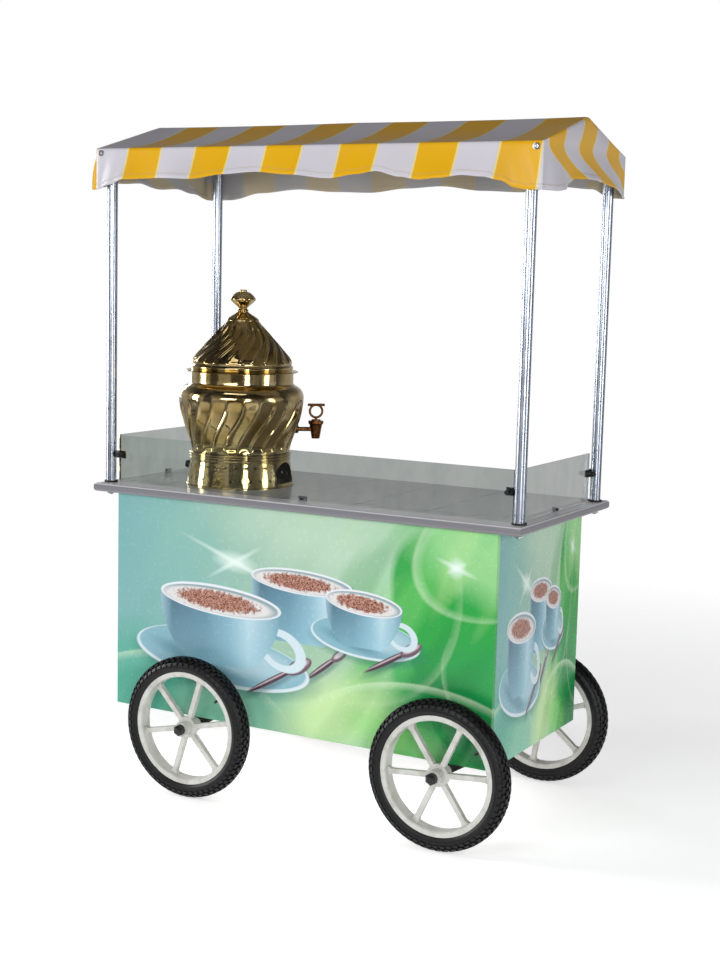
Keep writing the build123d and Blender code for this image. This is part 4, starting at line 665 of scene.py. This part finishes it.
def urn_cover(brass):
    flange = [(151, 337.2), (166.5, 337.2), (168, 338.4), (167, 340.6), (158, 341.5), (152, 343.5)]
    bead = flowing([(150.5, 345), (152.5, 348.5), (152.5, 353), (149.5, 357), (147.5, 359.5)], 4)
    cone = flowing([(148, 361.5), (148.8, 366), (147, 373), (141.5, 382), (131, 395), (117, 411), (101, 429),
                    (84, 448), (68, 465), (56, 478), (50, 485.5)], 6)
    cap = flowing([(48.5, 487.5), (48.5, 490), (45, 494.5), (36, 501), (26, 507), (18, 512.5),
                   (15.2, 516)], 5)
    outer = flange + bead + cone + cap
    inner = [p for p in shell_profile(outer, WALL)[len(outer):] if p[1] > LID_INNER_FOOT]
    spigot = [(148.2, 341), (148.2, 328.5), (150.2, 328.5), (150.2, 337)]
    profile = outer + [(0, 516), (0, 513.5)] + inner + spigot + [flange[0]]
    mesh = lathed("urn_cover", profile, LID_FLUTES * 18, URN_BASE,
                  flute(LID_FLUTES, 361 * MM, 484 * MM, LID_TWIST, FLUTE_DEPTH * 0.85, (0.12, 0.25)))
    cover = piece_of("urn_cover", mesh, brass, "lid", 50)
    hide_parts("urn_lid")


def urn_finial(brass):
    bulb = flowing([(15.5, 516.5), (17, 518), (14.5, 521), (12.5, 524.5), (14, 527.5), (20, 533), (29.5, 541),
                    (36.5, 548.5), (38, 552), (35.5, 557), (28, 565.5), (19.5, 571.5), (12.5, 573.5),
                    (11.5, 575), (11.5, 578), (8, 579.8)], 5)
    mesh = lathed("urn_finial", [(0, 516.2), *bulb, (0, 580)], 64, URN_BASE)
    finial = piece_of("urn_finial", mesh, brass, "lid", 40)
    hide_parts("lid_finial")


def stand_trim(brass):
    """Beads rolled round the stand's top and foot, and a pressed flower and star on its front."""
    bm = bmesh.new()
    hollow = bm.verts.layers.float.new("hollow")
    for radius, height, bead in ((150.6, 96.5, 2.6), (150.4, 89.5, 1.8), (150.6, 81, 1.6), (159.6, 3.2, 2.4)):
        loop = [(radius + bead * math.cos(a), height + bead * math.sin(a))
                for a in np.linspace(-math.pi, math.pi, 13)]
        turn_on_lathe(bm, [(r * MM, z * MM) for r, z in loop], 120, URN_BASE, None, hollow)
    mesh = mesh_from(bm, "stand_beads")
    piece_of("stand_beads", mesh, brass, "cart", 60)

    bm = bmesh.new()
    hollow = bm.verts.layers.float.new("hollow")
    facing = math.radians(-80)

    def drum_radius(height):
        return (160 - 10 * min(1.0, height / 73.5)) * MM

    def dome(side, height, radius, lift):
        """Low dome pressed out of the drum's wall, side along the wall and height in millimetres."""
        rows = []
        for ring in range(5):
            share = ring / 4
            out = lift * math.cos(share * math.pi / 2)
            row = []
            for k in range(14):
                a = 2 * math.pi * k / 14
                h = height + radius * share * math.sin(a)
                along = (side + radius * share * math.cos(a)) / 155
                r = drum_radius(h) + out * MM + 0.05 * MM
                vertex = bm.verts.new((URN_BASE.x + r * math.cos(facing + along),
                                       URN_BASE.y + r * math.sin(facing + along), URN_BASE.z + h * MM))
                # painted shade: the hollow value grows towards the dome's edge, drawing a dark ring round
                # each dome
                vertex[hollow] = DOME_EDGE_SHADE * share * share
                row.append(vertex)
            rows.append(row)
        for low, high in zip(rows, rows[1:]):
            for k in range(14):
                bm.faces.new((low[k], low[(k + 1) % 14], high[(k + 1) % 14], high[k]))

    for k in range(8):
        a = 2 * math.pi * k / 8
        dome(12 * math.cos(a), 56 + 12 * math.sin(a), 4.7, 3.6)
    dome(0, 56, 5.6, 4.2)
    for k in range(6):
        a = 2 * math.pi * k / 6 + math.pi / 2
        for share, size in ((0.36, 4.2), (0.64, 3.4), (0.90, 2.4)):
            dome(17 * share * math.cos(a), 21 + 17 * share * math.sin(a), size, size * 0.9)
    mesh = mesh_from(bm, "stand_flower", outward=False)
    piece_of("stand_flower", mesh, brass, "cart", 60)


# ---------------------------------------------------------------- tyres
# rows of knobs: (place across the tread in mm, stagger in knobs, lean outwards in degrees)
KNOB_ROWS = ((0.0, 0.0, 0.0), (-10.0, 0.5, 14.0), (10.0, 0.5, -14.0), (-19.0, 0.0, 42.0), (19.0, 0.0, -42.0),
             (-24.4, 0.5, 66.0), (24.4, 0.5, -66.0))
KNOB_DROP = {0.0: 0.0, 10.0: 0.9, 19.0: 6.0, 24.4: 15.0}
TREAD = {"Knobs round": 60, "Crown radius": 203.2 * MM, "Knob length": 12.5 * MM, "Knob width": 8.5 * MM,
         "Knob height": 6.4 * MM}
CASING_MIDDLE = 180.0
CASING_HEIGHT = 22.4
CASING_HALF_WIDTH = 26.6
VALVE_BESIDE_SPOKE = 30.0
VALVE_OUTLINE = ((0, 156), (4, 156), (4, 139), (3.2, 138.5), (3.2, 136), (3.9, 135.5), (3.9, 127), (0, 126))
SPOKE_ANGLE = {"front_left": 13.0, "front_right": 5.0, "rear_left": 41.0, "rear_right": 20.0}


def knob_tree(rubber):
    """Geometry nodes: rows of tread knobs on circles round Z, added to the tyre's casing."""
    tree = bpy.data.node_groups.new("tread_knobs", "GeometryNodeTree")
    tree.interface.new_socket("Geometry", in_out="INPUT", socket_type="NodeSocketGeometry")
    tree.interface.new_socket("Knobs round", in_out="INPUT", socket_type="NodeSocketInt")
    for label in ("Crown radius", "Knob length", "Knob width", "Knob height"):
        tree.interface.new_socket(label, in_out="INPUT", socket_type="NodeSocketFloat")
    tree.interface.new_socket("Geometry", in_out="OUTPUT", socket_type="NodeSocketGeometry")
    given = add(tree, "NodeGroupInput").node.outputs
    size = add(tree, "CombineXYZ", given["Knob height"], given["Knob length"], given["Knob width"])
    block = add(tree, "GeometryNodeMeshCube", Size=size)
    join = add(tree, "GeometryNodeJoinGeometry", given["Geometry"])
    for offset, stagger, lean in KNOB_ROWS:
        radius = add(tree, "Math", given["Crown radius"], KNOB_DROP[abs(offset)] * MM, operation="SUBTRACT")
        circle = add(tree, "GeometryNodeMeshCircle", Vertices=given["Knobs round"], Radius=radius)
        place = add(tree, "GeometryNodeInputPosition")
        facing = add(tree, "FunctionNodeAlignRotationToVector", Vector=place, axis="X", pivot_axis="Z")
        lean_by = add(tree, "FunctionNodeEulerToRotation", (0.0, math.radians(lean), 0.0))
        tilt = add(tree, "FunctionNodeRotateRotation", facing, lean_by, rotation_space="LOCAL")
        row = add(tree, "GeometryNodeInstanceOnPoints", Points=circle, Instance=block, Rotation=tilt)
        turned = add(tree, "GeometryNodeTransform", Geometry=row, Translation=(0, 0, offset * MM),
                     Rotation=(0, 0, stagger * 2 * math.pi / TREAD["Knobs round"]))
        tree.links.new(turned, join.node.inputs[0])
    solid = add(tree, "GeometryNodeRealizeInstances", join)
    add(tree, "NodeGroupOutput", add(tree, "GeometryNodeSetMaterial", Geometry=solid, Material=rubber))
    return tree


def tyre_casing():
    """Round tyre casing about Z, sitting inside the rim's lips, with two thin mould lines."""
    bm = bmesh.new()
    hollow = bm.verts.layers.float.new("hollow")
    section = []
    for k in range(33):
        a = 2 * math.pi * k / 32
        section.append((CASING_MIDDLE + CASING_HEIGHT * math.cos(a), CASING_HALF_WIDTH * math.sin(a)))
    turn_on_lathe(bm, [(r * MM, z * MM) for r, z in section], 120, (0, 0, 0), None, hollow)
    for side in (-1, 1):
        for radius, half in ((178, 26.7), (186.5, 25.9)):
            ring = [(radius + 0.9 * math.cos(a), side * half + 0.9 * math.sin(a))
                    for a in np.linspace(-math.pi, math.pi, 7)]
            turn_on_lathe(bm, [(r * MM, z * MM) for r, z in ring], 96, (0, 0, 0), None, hollow)
    return mesh_from(bm, "tyre_casing")


def tyres(rubber):
    casing = bpy.data.objects.new("tyre_casing", tyre_casing())
    bpy.context.scene.collection.objects.link(casing)
    modifier = casing.modifiers.new("tread", "NODES")
    modifier.node_group = knob_tree(rubber)
    for socket in modifier.node_group.interface.items_tree:
        if socket.name in TREAD:
            modifier[socket.identifier] = TREAD[socket.name]
    graph = bpy.context.evaluated_depsgraph_get()
    pattern = bpy.data.meshes.new_from_object(casing.evaluated_get(graph))
    casing.modifiers.clear()
    bpy.data.objects.remove(casing)
    for wheel in WHEELS:
        low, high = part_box(f"rim_{wheel}")
        middle = (low + high) / 2
        angle = math.radians(SPOKE_ANGLE[wheel] + VALVE_BESIDE_SPOKE)
        bm = bmesh.new()
        bm.from_mesh(pattern)
        # the valve of the inner tube, with its cap
        stem = bmesh.new()
        turn_on_lathe(stem, [(r * MM, z * MM) for r, z in VALVE_OUTLINE], 16, (0, 0, 0))
        bmesh.ops.remove_doubles(stem, verts=stem.verts, dist=0.01 * MM)
        bmesh.ops.recalc_face_normals(stem, faces=stem.faces)
        stem.transform(Matrix.Rotation(-angle, 4, "Z") @ Matrix.Rotation(math.radians(90), 4, "Y"))
        valve = bpy.data.meshes.new("valve")
        stem.to_mesh(valve)
        stem.free()
        bm.from_mesh(valve)
        bm.transform(Matrix.Translation(middle) @ Matrix.Rotation(math.radians(-90), 4, "X"))
        mesh = bpy.data.meshes.new(f"tyre_tread_{wheel}")
        bm.to_mesh(mesh)
        bm.free()
        mesh.materials.clear()
        made = piece_of(f"tyre_tread_{wheel}", mesh, rubber, f"wheel_{wheel}", 40)
        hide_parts(f"tyre_{wheel}")


# ---------------------------------------------------------------- canopy cloth
HALF_X = COVER[1].x
HALF_Y = COVER[1].y
RIDGE_Z = COVER[1].z
GABLE_HEIGHT = 0.087
EAVE_Z = RIDGE_Z - GABLE_HEIGHT
ROOF_SAG = 11 * MM
END_FULLNESS = 1.15
END_LEAN = 0.165
END_START = 0.078
CORNER_FOLD = (2, 4, 6, 11, 14, 18)
EYELET_IN = 4.5 * MM
CLOTH_THICKNESS = 1.1 * MM
FAR_FROM_HEM = 0.05
FOLD_REACH = 9 * MM
FOLD_HEIGHT = 7 * MM
# depth of the valance below the eave along each side, cut in a free wave: (place in m, depth in mm)
FRONT_HEM = [(-0.702, 118), (-0.65, 104), (-0.60, 89), (-0.47, 86), (-0.36, 89), (-0.25, 77), (-0.15, 71),
             (-0.04, 79), (0.09, 90), (0.17, 80), (0.23, 72), (0.30, 87), (0.36, 95), (0.42, 91), (0.48, 84),
             (0.54, 88), (0.59, 98), (0.63, 116), (0.66, 121), (0.702, 121)]
REAR_HEM = [(-0.702, 120), (-0.64, 118), (-0.52, 96), (-0.38, 84), (-0.25, 92), (-0.12, 95), (0.0, 82),
            (0.12, 76), (0.26, 90), (0.38, 94), (0.50, 79), (0.60, 86), (0.66, 112), (0.702, 114)]
RIGHT_HEM = [(-0.301, 121), (-0.24, 121), (-0.18, 115), (-0.14, 95), (-0.10, 82), (-0.02, 79), (0.07, 81),
             (0.14, 88), (0.22, 97), (0.301, 114)]
LEFT_HEM = [(-0.301, 118), (-0.24, 108), (-0.17, 93), (-0.05, 86), (0.05, 98), (0.14, 92), (0.22, 103),
            (0.301, 120)]


def hem_depth(hem, place):
    """Depth of the hem at a place, smooth between the given points."""
    for (a, deep_a), (b, deep_b) in zip(hem, hem[1:]):
        if place <= b:
            return (deep_a + (deep_b - deep_a) * smoothstep(a, b, place)) * MM
    return hem[-1][1] * MM


def roof_place(x, y):
    """Point of the roof cloth: straight from ridge to eave, less the sag between the end rafters."""
    height = RIDGE_Z - abs(y) / HALF_Y * (RIDGE_Z - EAVE_Z)
    from_end = 1 - abs(x) / HALF_X
    sag = ROOF_SAG * min(1.0, from_end * 6) * math.sin(math.pi * abs(y) / HALF_Y)
    ridge_sag = 2.0 * MM * abs(math.sin(math.pi * x / HALF_X)) * (1 - abs(y) / HALF_Y)
    return height - sag - ridge_sag


def flare(along, half, share, reach, corner, quick_out):
    """How far the valance stands out at a share of its depth: nothing at the corners, and in waves."""
    window = smoothstep(0.0, corner, half - abs(along))
    wave = 0.72 + 0.20 * math.sin(along * 17.0 + 0.6) + 0.14 * math.sin(along * 31.0 + 2.0)
    profile = 1 - (1 - share) ** 2.4 if quick_out else share ** 1.6
    from_corner = half - abs(along)
    crease = math.exp(-(from_corner / 0.085) ** 2) * math.sin(from_corner * 95 + share * 4) * share
    return reach * window * wave * profile + 3.0 * MM * crease * smoothstep(0.0, 0.03, from_corner)


def end_stripes(side, y, height):
    """Place along the stripes on an end: they lean back below the ridge and run forward to the hem."""
    below = smoothstep(0.0, 0.11, EAVE_Z - height)
    above = smoothstep(0.0, GABLE_HEIGHT, height - EAVE_Z)
    run = y + HALF_Y - END_LEAN * below - 0.035 * above
    if side > 0:
        return 2 * HALF_X + max(0.005, END_START + run * END_FULLNESS)
    return -max(0.005, 0.03 + run * END_FULLNESS)


def cloth_quads(bm, rows, spread_out, flat_map, hem_layer):
    """Adds a grid of points (place, flat u, flat v, height above the hem) with its flat map."""
    grid = []
    for row in rows:
        line = []
        for place, u, v, above in row:
            vertex = bm.verts.new(place)
            vertex[hem_layer] = above
            line.append((vertex, (u, v)))
        grid.append(line)
    for low, high in zip(grid, grid[1:]):
        for a, b, c, d in zip(low, low[1:], high[1:], high):
            corners = (a, b, c, d) if spread_out else (d, c, b, a)
            if len({tuple(round(k, 6) for k in vertex.co) for vertex, _ in corners}) < 3:
                continue
            face = bm.faces.new([vertex for vertex, _ in corners])
            for loop, (_, flat) in zip(face.loops, corners):
                loop[flat_map].uv = flat


def canopy(cloth, reverse):
    bm = bmesh.new()
    flat_map = bm.loops.layers.uv.new("cloth")
    hem_layer = bm.verts.layers.float.new("above_hem")
    columns = np.linspace(-HALF_X, HALF_X, 157)
    drops = np.linspace(0, 1, 14)
    slope_y = np.sort(np.append(np.linspace(-HALF_Y, HALF_Y, 73), [k * MM - HALF_Y for k in CORNER_FOLD]))
    slope = math.hypot(HALF_Y, RIDGE_Z - EAVE_Z)

    roof = [[((x, y, roof_place(x, y)), x + HALF_X, y / HALF_Y * slope, FAR_FROM_HEM) for x in columns]
            for y in slope_y]
    cloth_quads(bm, roof, True, flat_map, hem_layer)
    for side, hem, reach in ((-1, FRONT_HEM, 15 * MM), (1, REAR_HEM, 12 * MM)):
        rows = []
        for share in drops:
            line = []
            for x in columns:
                deep = hem_depth(hem, x)
                out = flare(x, HALF_X, share, reach, 0.13, False)
                place = (x, side * (HALF_Y + out), EAVE_Z - deep * share)
                lean = 0.016 * share if side < 0 else 0.0
                line.append((place, x + HALF_X + lean, side * (slope + deep * share), deep * (1 - share)))
            rows.append(line)
        cloth_quads(bm, rows, side > 0, flat_map, hem_layer)
    for side, hem, reach, corner in ((1, RIGHT_HEM, 24 * MM, 0.10), (-1, LEFT_HEM, 34 * MM, 0.016)):
        gable = []
        for share in np.linspace(0, 1, 12):
            line = []
            for y in slope_y:
                top = roof_place(side * HALF_X, y)
                bulge = 5 * MM * math.sin(math.pi * share) * (1 - abs(y) / HALF_Y)
                height = top + (EAVE_Z - top) * share
                line.append(((side * (HALF_X + bulge), y, height), end_stripes(side, y, height),
                             slope + height - EAVE_Z, FAR_FROM_HEM))
            gable.append(line)
        cloth_quads(bm, gable, side < 0, flat_map, hem_layer)
        rows = []
        for share in drops:
            line = []
            for y in slope_y:
                deep = hem_depth(hem, y)
                out = flare(y, HALF_Y, share, reach, corner, side < 0)
                height = EAVE_Z - deep * share
                line.append(((side * (HALF_X + out), y, height), end_stripes(side, y, height),
                             -slope - deep * share, deep * (1 - share)))
            rows.append(line)
        cloth_quads(bm, rows, side < 0, flat_map, hem_layer)
    bmesh.ops.remove_doubles(bm, verts=bm.verts, dist=0.2 * MM)

    def near_a_fold(place):
        x, y, z = abs(place.x), abs(place.y), place.z
        at_side = y > HALF_Y - FOLD_REACH
        at_end = x > HALF_X - FOLD_REACH
        on_eave = abs(z - EAVE_Z) < FOLD_HEIGHT and (at_side or at_end)
        on_gable = at_end and z > EAVE_Z and abs(z - roof_place(HALF_X, place.y)) < FOLD_HEIGHT
        on_ridge = y < FOLD_REACH and z > EAVE_Z + 0.03
        return on_eave or at_side and at_end or on_gable or on_ridge

    folds = [v for v in bm.verts if near_a_fold(v.co) and not v.is_boundary]
    for _ in range(2):
        bmesh.ops.smooth_vert(bm, verts=folds, factor=0.5, use_axis_x=True, use_axis_y=True, use_axis_z=True)
    bmesh.ops.recalc_face_normals(bm, faces=bm.faces)
    mesh = bpy.data.meshes.new("canopy_sheet")
    bm.to_mesh(mesh)
    bm.free()
    mesh.materials.append(cloth)
    mesh.materials.append(reverse)
    sheet = piece_of("canopy_sheet", mesh, cloth, "cart", 180)
    wall = sheet.modifiers.new("cloth_thickness", "SOLIDIFY")
    wall.thickness = CLOTH_THICKNESS
    wall.offset = -1.0
    wall.material_offset = 1
    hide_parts("canopy_cover")


def eyelets(steel):
    """Rolled eyelets that the cover's screws go through, one near each front and rear corner."""
    low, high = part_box("cover_screws")
    bm = bmesh.new()
    ring = [(4.9, 0), (5.3, 0.9), (6.6, 1.4), (8.0, 1.0), (8.6, 0), (8.6, -0.5), (4.9, -0.5), (4.9, 0)]
    for x in (low.x + EYELET_IN, high.x - EYELET_IN):
        for side in (-1, 1):
            piece = bmesh.new()
            turn_on_lathe(piece, [(r * MM, z * MM) for r, z in ring], 28, (0, 0, 0))
            bmesh.ops.remove_doubles(piece, verts=piece.verts, dist=0.01 * MM)
            bmesh.ops.recalc_face_normals(piece, faces=piece.faces)
            piece.transform(Matrix.Translation((x, side * (HALF_Y + 0.6 * MM), (low.z + high.z) / 2))
                            @ Matrix.Rotation(math.radians(-90 * side), 4, "X"))
            holder = bpy.data.meshes.new("eyelet")
            piece.to_mesh(holder)
            piece.free()
            bm.from_mesh(holder)
    mesh = bpy.data.meshes.new("cover_eyelets")
    bm.to_mesh(mesh)
    bm.free()
    piece_of("cover_eyelets", mesh, steel, "cart", 40)


# ---------------------------------------------------------------- finishes on the frame's own parts
def put_finishes_on():
    artwork = artwork_group(soft_ellipse_group())
    stretch = (PANEL[1].x - PANEL[0].x) / (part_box("cabinet_right")[1].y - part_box("cabinet_right")[0].y)
    by_slot = {
        "white_board": white_board(),
        "counter_laminate": counter_laminate(),
        "door_sheet": door_sheet(),
        "track_aluminium": drawn_metal("mill_aluminium", "#A9ABAD", "#C9CBCD", "x", 0.28),
        "axle_steel": drawn_metal("bright_steel_bar", "#8B8D90", "#B4B6B8", "y", 0.25),
        "black_steel": cast_or_enamelled("black_enamel", "#151517", "#3A3836", 0.35, 1.5),
        "zinc_steel": drawn_metal("zinc_plated_screws", "#9C9FA3", "#C9CCCE", "z", 0.30, 0.6),
        "rim_plastic": moulded("white_moulded_rim", "#CBCBC6", "#AFAEA6", 0.34),
        "tyre_rubber": tyre_rubber(),
        "post_chrome": chromed_tube(),
        "collar_rubber": moulded("soft_black_rubber", "#141416", "#2C2C2E", 0.6),
        "guard_glass": guard_glass(),
        "clip_chrome": drawn_metal("chromed_plate", "#BFC3C8", "#E0E3E6", "x", 0.16, 0.8),
        "black_plastic": moulded("black_moulded_plastic", "#17171A", "#303034", 0.38),
        "frame_steel": drawn_metal("zinc_plated_tube", "#8E9196", "#B8BBC0", "x", 0.34, 2.0),
        "urn_brass": urn_brass(),
        "tap_bronze": tap_bronze(),
        "burner_iron": cast_or_enamelled("burner_cast_iron", "#2A2724", "#4A4039", 0.7, 1.2, 0.3),
        "striped_fabric": canopy_cloth("striped_pvc_cloth", "#E0A900", "#CBC8D1", "#E2D28C"),
    }
    panels = {
        "cabinet_front": printed_film("printed_film_front", artwork, 0, 1.0),
        "cabinet_right": printed_film("printed_film_right", artwork, 1, stretch),
        "cabinet_left": printed_film("printed_film_left", artwork, 1, -stretch),
    }
    for row in frame["record"]["subparts"]:
        node = frame["nodes"][row["node"]]
        material = panels.get(row["node"]) or by_slot[row["material_slot"]]
        node.data.materials.clear()
        node.data.materials.append(material)
    return by_slot


# ---------------------------------------------------------------- studio
CAMERA_AT = (2.2921, -4.0815, 1.5275)
CAMERA_TURN = 28.925
CAMERA_DOWN = 7.405
CAMERA_ROLL = 1.434
CAMERA_LENS = 60.2


def camera():
    data = bpy.data.cameras.new("camera")
    data.lens = CAMERA_LENS
    data.sensor_width = 36
    made = bpy.data.objects.new("camera", data)
    bpy.context.scene.collection.objects.link(made)
    made.matrix_world = (Matrix.Translation(CAMERA_AT)
                         @ Matrix.Rotation(math.radians(CAMERA_TURN), 4, "Z")
                         @ Matrix.Rotation(math.radians(90 - CAMERA_DOWN), 4, "X")
                         @ Matrix.Rotation(math.radians(CAMERA_ROLL), 4, "Z"))
    bpy.context.scene.camera = made


def softbox(name, place, aim, size, power):
    data = bpy.data.lights.new(name, "AREA")
    data.shape = "RECTANGLE"
    data.size, data.size_y = size
    data.energy = power
    made = bpy.data.objects.new(name, data)
    bpy.context.scene.collection.objects.link(made)
    made.location = place
    made.rotation_euler = (Vector(aim) - Vector(place)).to_track_quat("-Z", "Y").to_euler()


FLOOR_HALF = 5.0
FLOOR_FADE = (1.3, 3.6)
FLOOR_GLOW = 0.52
BEHIND = (-0.45, 0.89, 0.0)
# softboxes: name, place, point aimed at, (width, height) and watts
SOFTBOXES = (
    ("key_softbox", (-4.0, -2.1, 1.5), (0, 0, 1.0), (0.9, 2.0), 100),
    ("front_softbox", (3.0, -3.4, 1.5), (0, 0, 1.0), (0.6, 2.0), 56),
    ("fill_softbox", (0.2, -3.2, 1.85), (0, 0, 0.9), (1.6, 0.5), 26),
    ("side_softbox", (4.6, -0.1, 1.5), (0, 0, 1.0), (0.8, 2.0), 42),
    ("back_softbox", (-4.2, 2.6, 1.7), (0, 0, 1.0), (1.4, 2.0), 45),
    ("top_softbox", (0.2, -1.9, 4.2), (0, 0.1, 0.9), (2.0, 0.9), 14),
)


def studio():
    """Pale floor that fades into a white room, with a dark ceiling, pale walls and six softboxes."""
    plane = bmesh.new()
    bmesh.ops.create_grid(plane, x_segments=1, y_segments=1, size=FLOOR_HALF)
    mesh = bpy.data.meshes.new("studio_floor")
    plane.to_mesh(mesh)
    plane.free()
    floor = bpy.data.objects.new("studio_floor", mesh)
    bpy.context.scene.collection.objects.link(floor)
    material, tree = blank_finish("pale_floor")
    cloudy = add(tree, "Group", 400, node_tree=GRAIN)
    colour = add(tree, "Mix", cloudy, "#F4F4F4", "#EFEFEF", data_type="RGBA")
    matt = add(tree, "BsdfPrincipled", colour, Roughness=0.7, Emission_Color="#FFFFFF",
               Emission_Strength=FLOOR_GLOW)
    place = add(tree, "TexCoord").node.outputs["Object"]
    from_middle = add(tree, "VectorMath", place, operation="LENGTH")
    fade = add(tree, "MapRange", from_middle, *FLOOR_FADE)
    clear = add(tree, "BsdfTransparent")
    add(tree, "OutputMaterial", add(tree, "MixShader", fade, matt, clear))
    mesh.materials.append(material)

    world = bpy.data.worlds.new("studio")
    bpy.context.scene.world = world
    world.use_nodes = True
    tree = world.node_tree
    tree.nodes.clear()
    direction = add(tree, "TexCoord").node.outputs["Generated"]
    height = add(tree, "SeparateXYZ", direction).node.outputs[2]
    room = add(tree, "ValToRGB", add(tree, "MapRange", height, -1.0, 1.0),
               stops=[(0.0, "#8A8A8A"), (0.47, "#B4B4B4"), (0.56, "#C4C4C4"), (0.66, "#8A8A8D"),
                      (0.8, "#4E4E50"), (1.0, "#333335")])
    level = add(tree, "Mapping", Vector=direction, Scale=(1.3, 1.3, 0.25))
    drapes = add(tree, "TexNoise", Vector=level, Scale=1.9, Detail=1.0)
    behind = add(tree, "VectorMath", direction, BEHIND, operation="DOT_PRODUCT")
    open_side = add(tree, "MapRange", behind, 0.1, 0.5, 0.85, 0.0)
    dark = add(tree, "Math", add(tree, "MapRange", drapes, 0.43, 0.5), open_side, operation="MULTIPLY")
    room = add(tree, "Mix", dark, room, "#26262A", data_type="RGBA")
    seen = add(tree, "LightPath").node.outputs["Is Camera Ray"]
    backdrop = add(tree, "Mix", seen, room, "#FFFFFF", data_type="RGBA")
    add(tree, "OutputWorld", add(tree, "Background", backdrop))

    for settings in SOFTBOXES:
        softbox(*settings)
    bpy.context.scene.view_settings.view_transform = "Standard"


finishes = put_finishes_on()
urn_pot(finishes["urn_brass"])
urn_cover(finishes["urn_brass"])
urn_finial(finishes["urn_brass"])
stand_trim(finishes["urn_brass"])
tyres(finishes["tyre_rubber"])
canopy(finishes["striped_fabric"],
       canopy_cloth("striped_pvc_reverse", "#B3A68C", "#A8A6A8", "#ADA79C"))
eyelets(drawn_metal("dulled_eyelet_steel", "#4A4641", "#7D7A76", "z", 0.4))
studio()
camera()
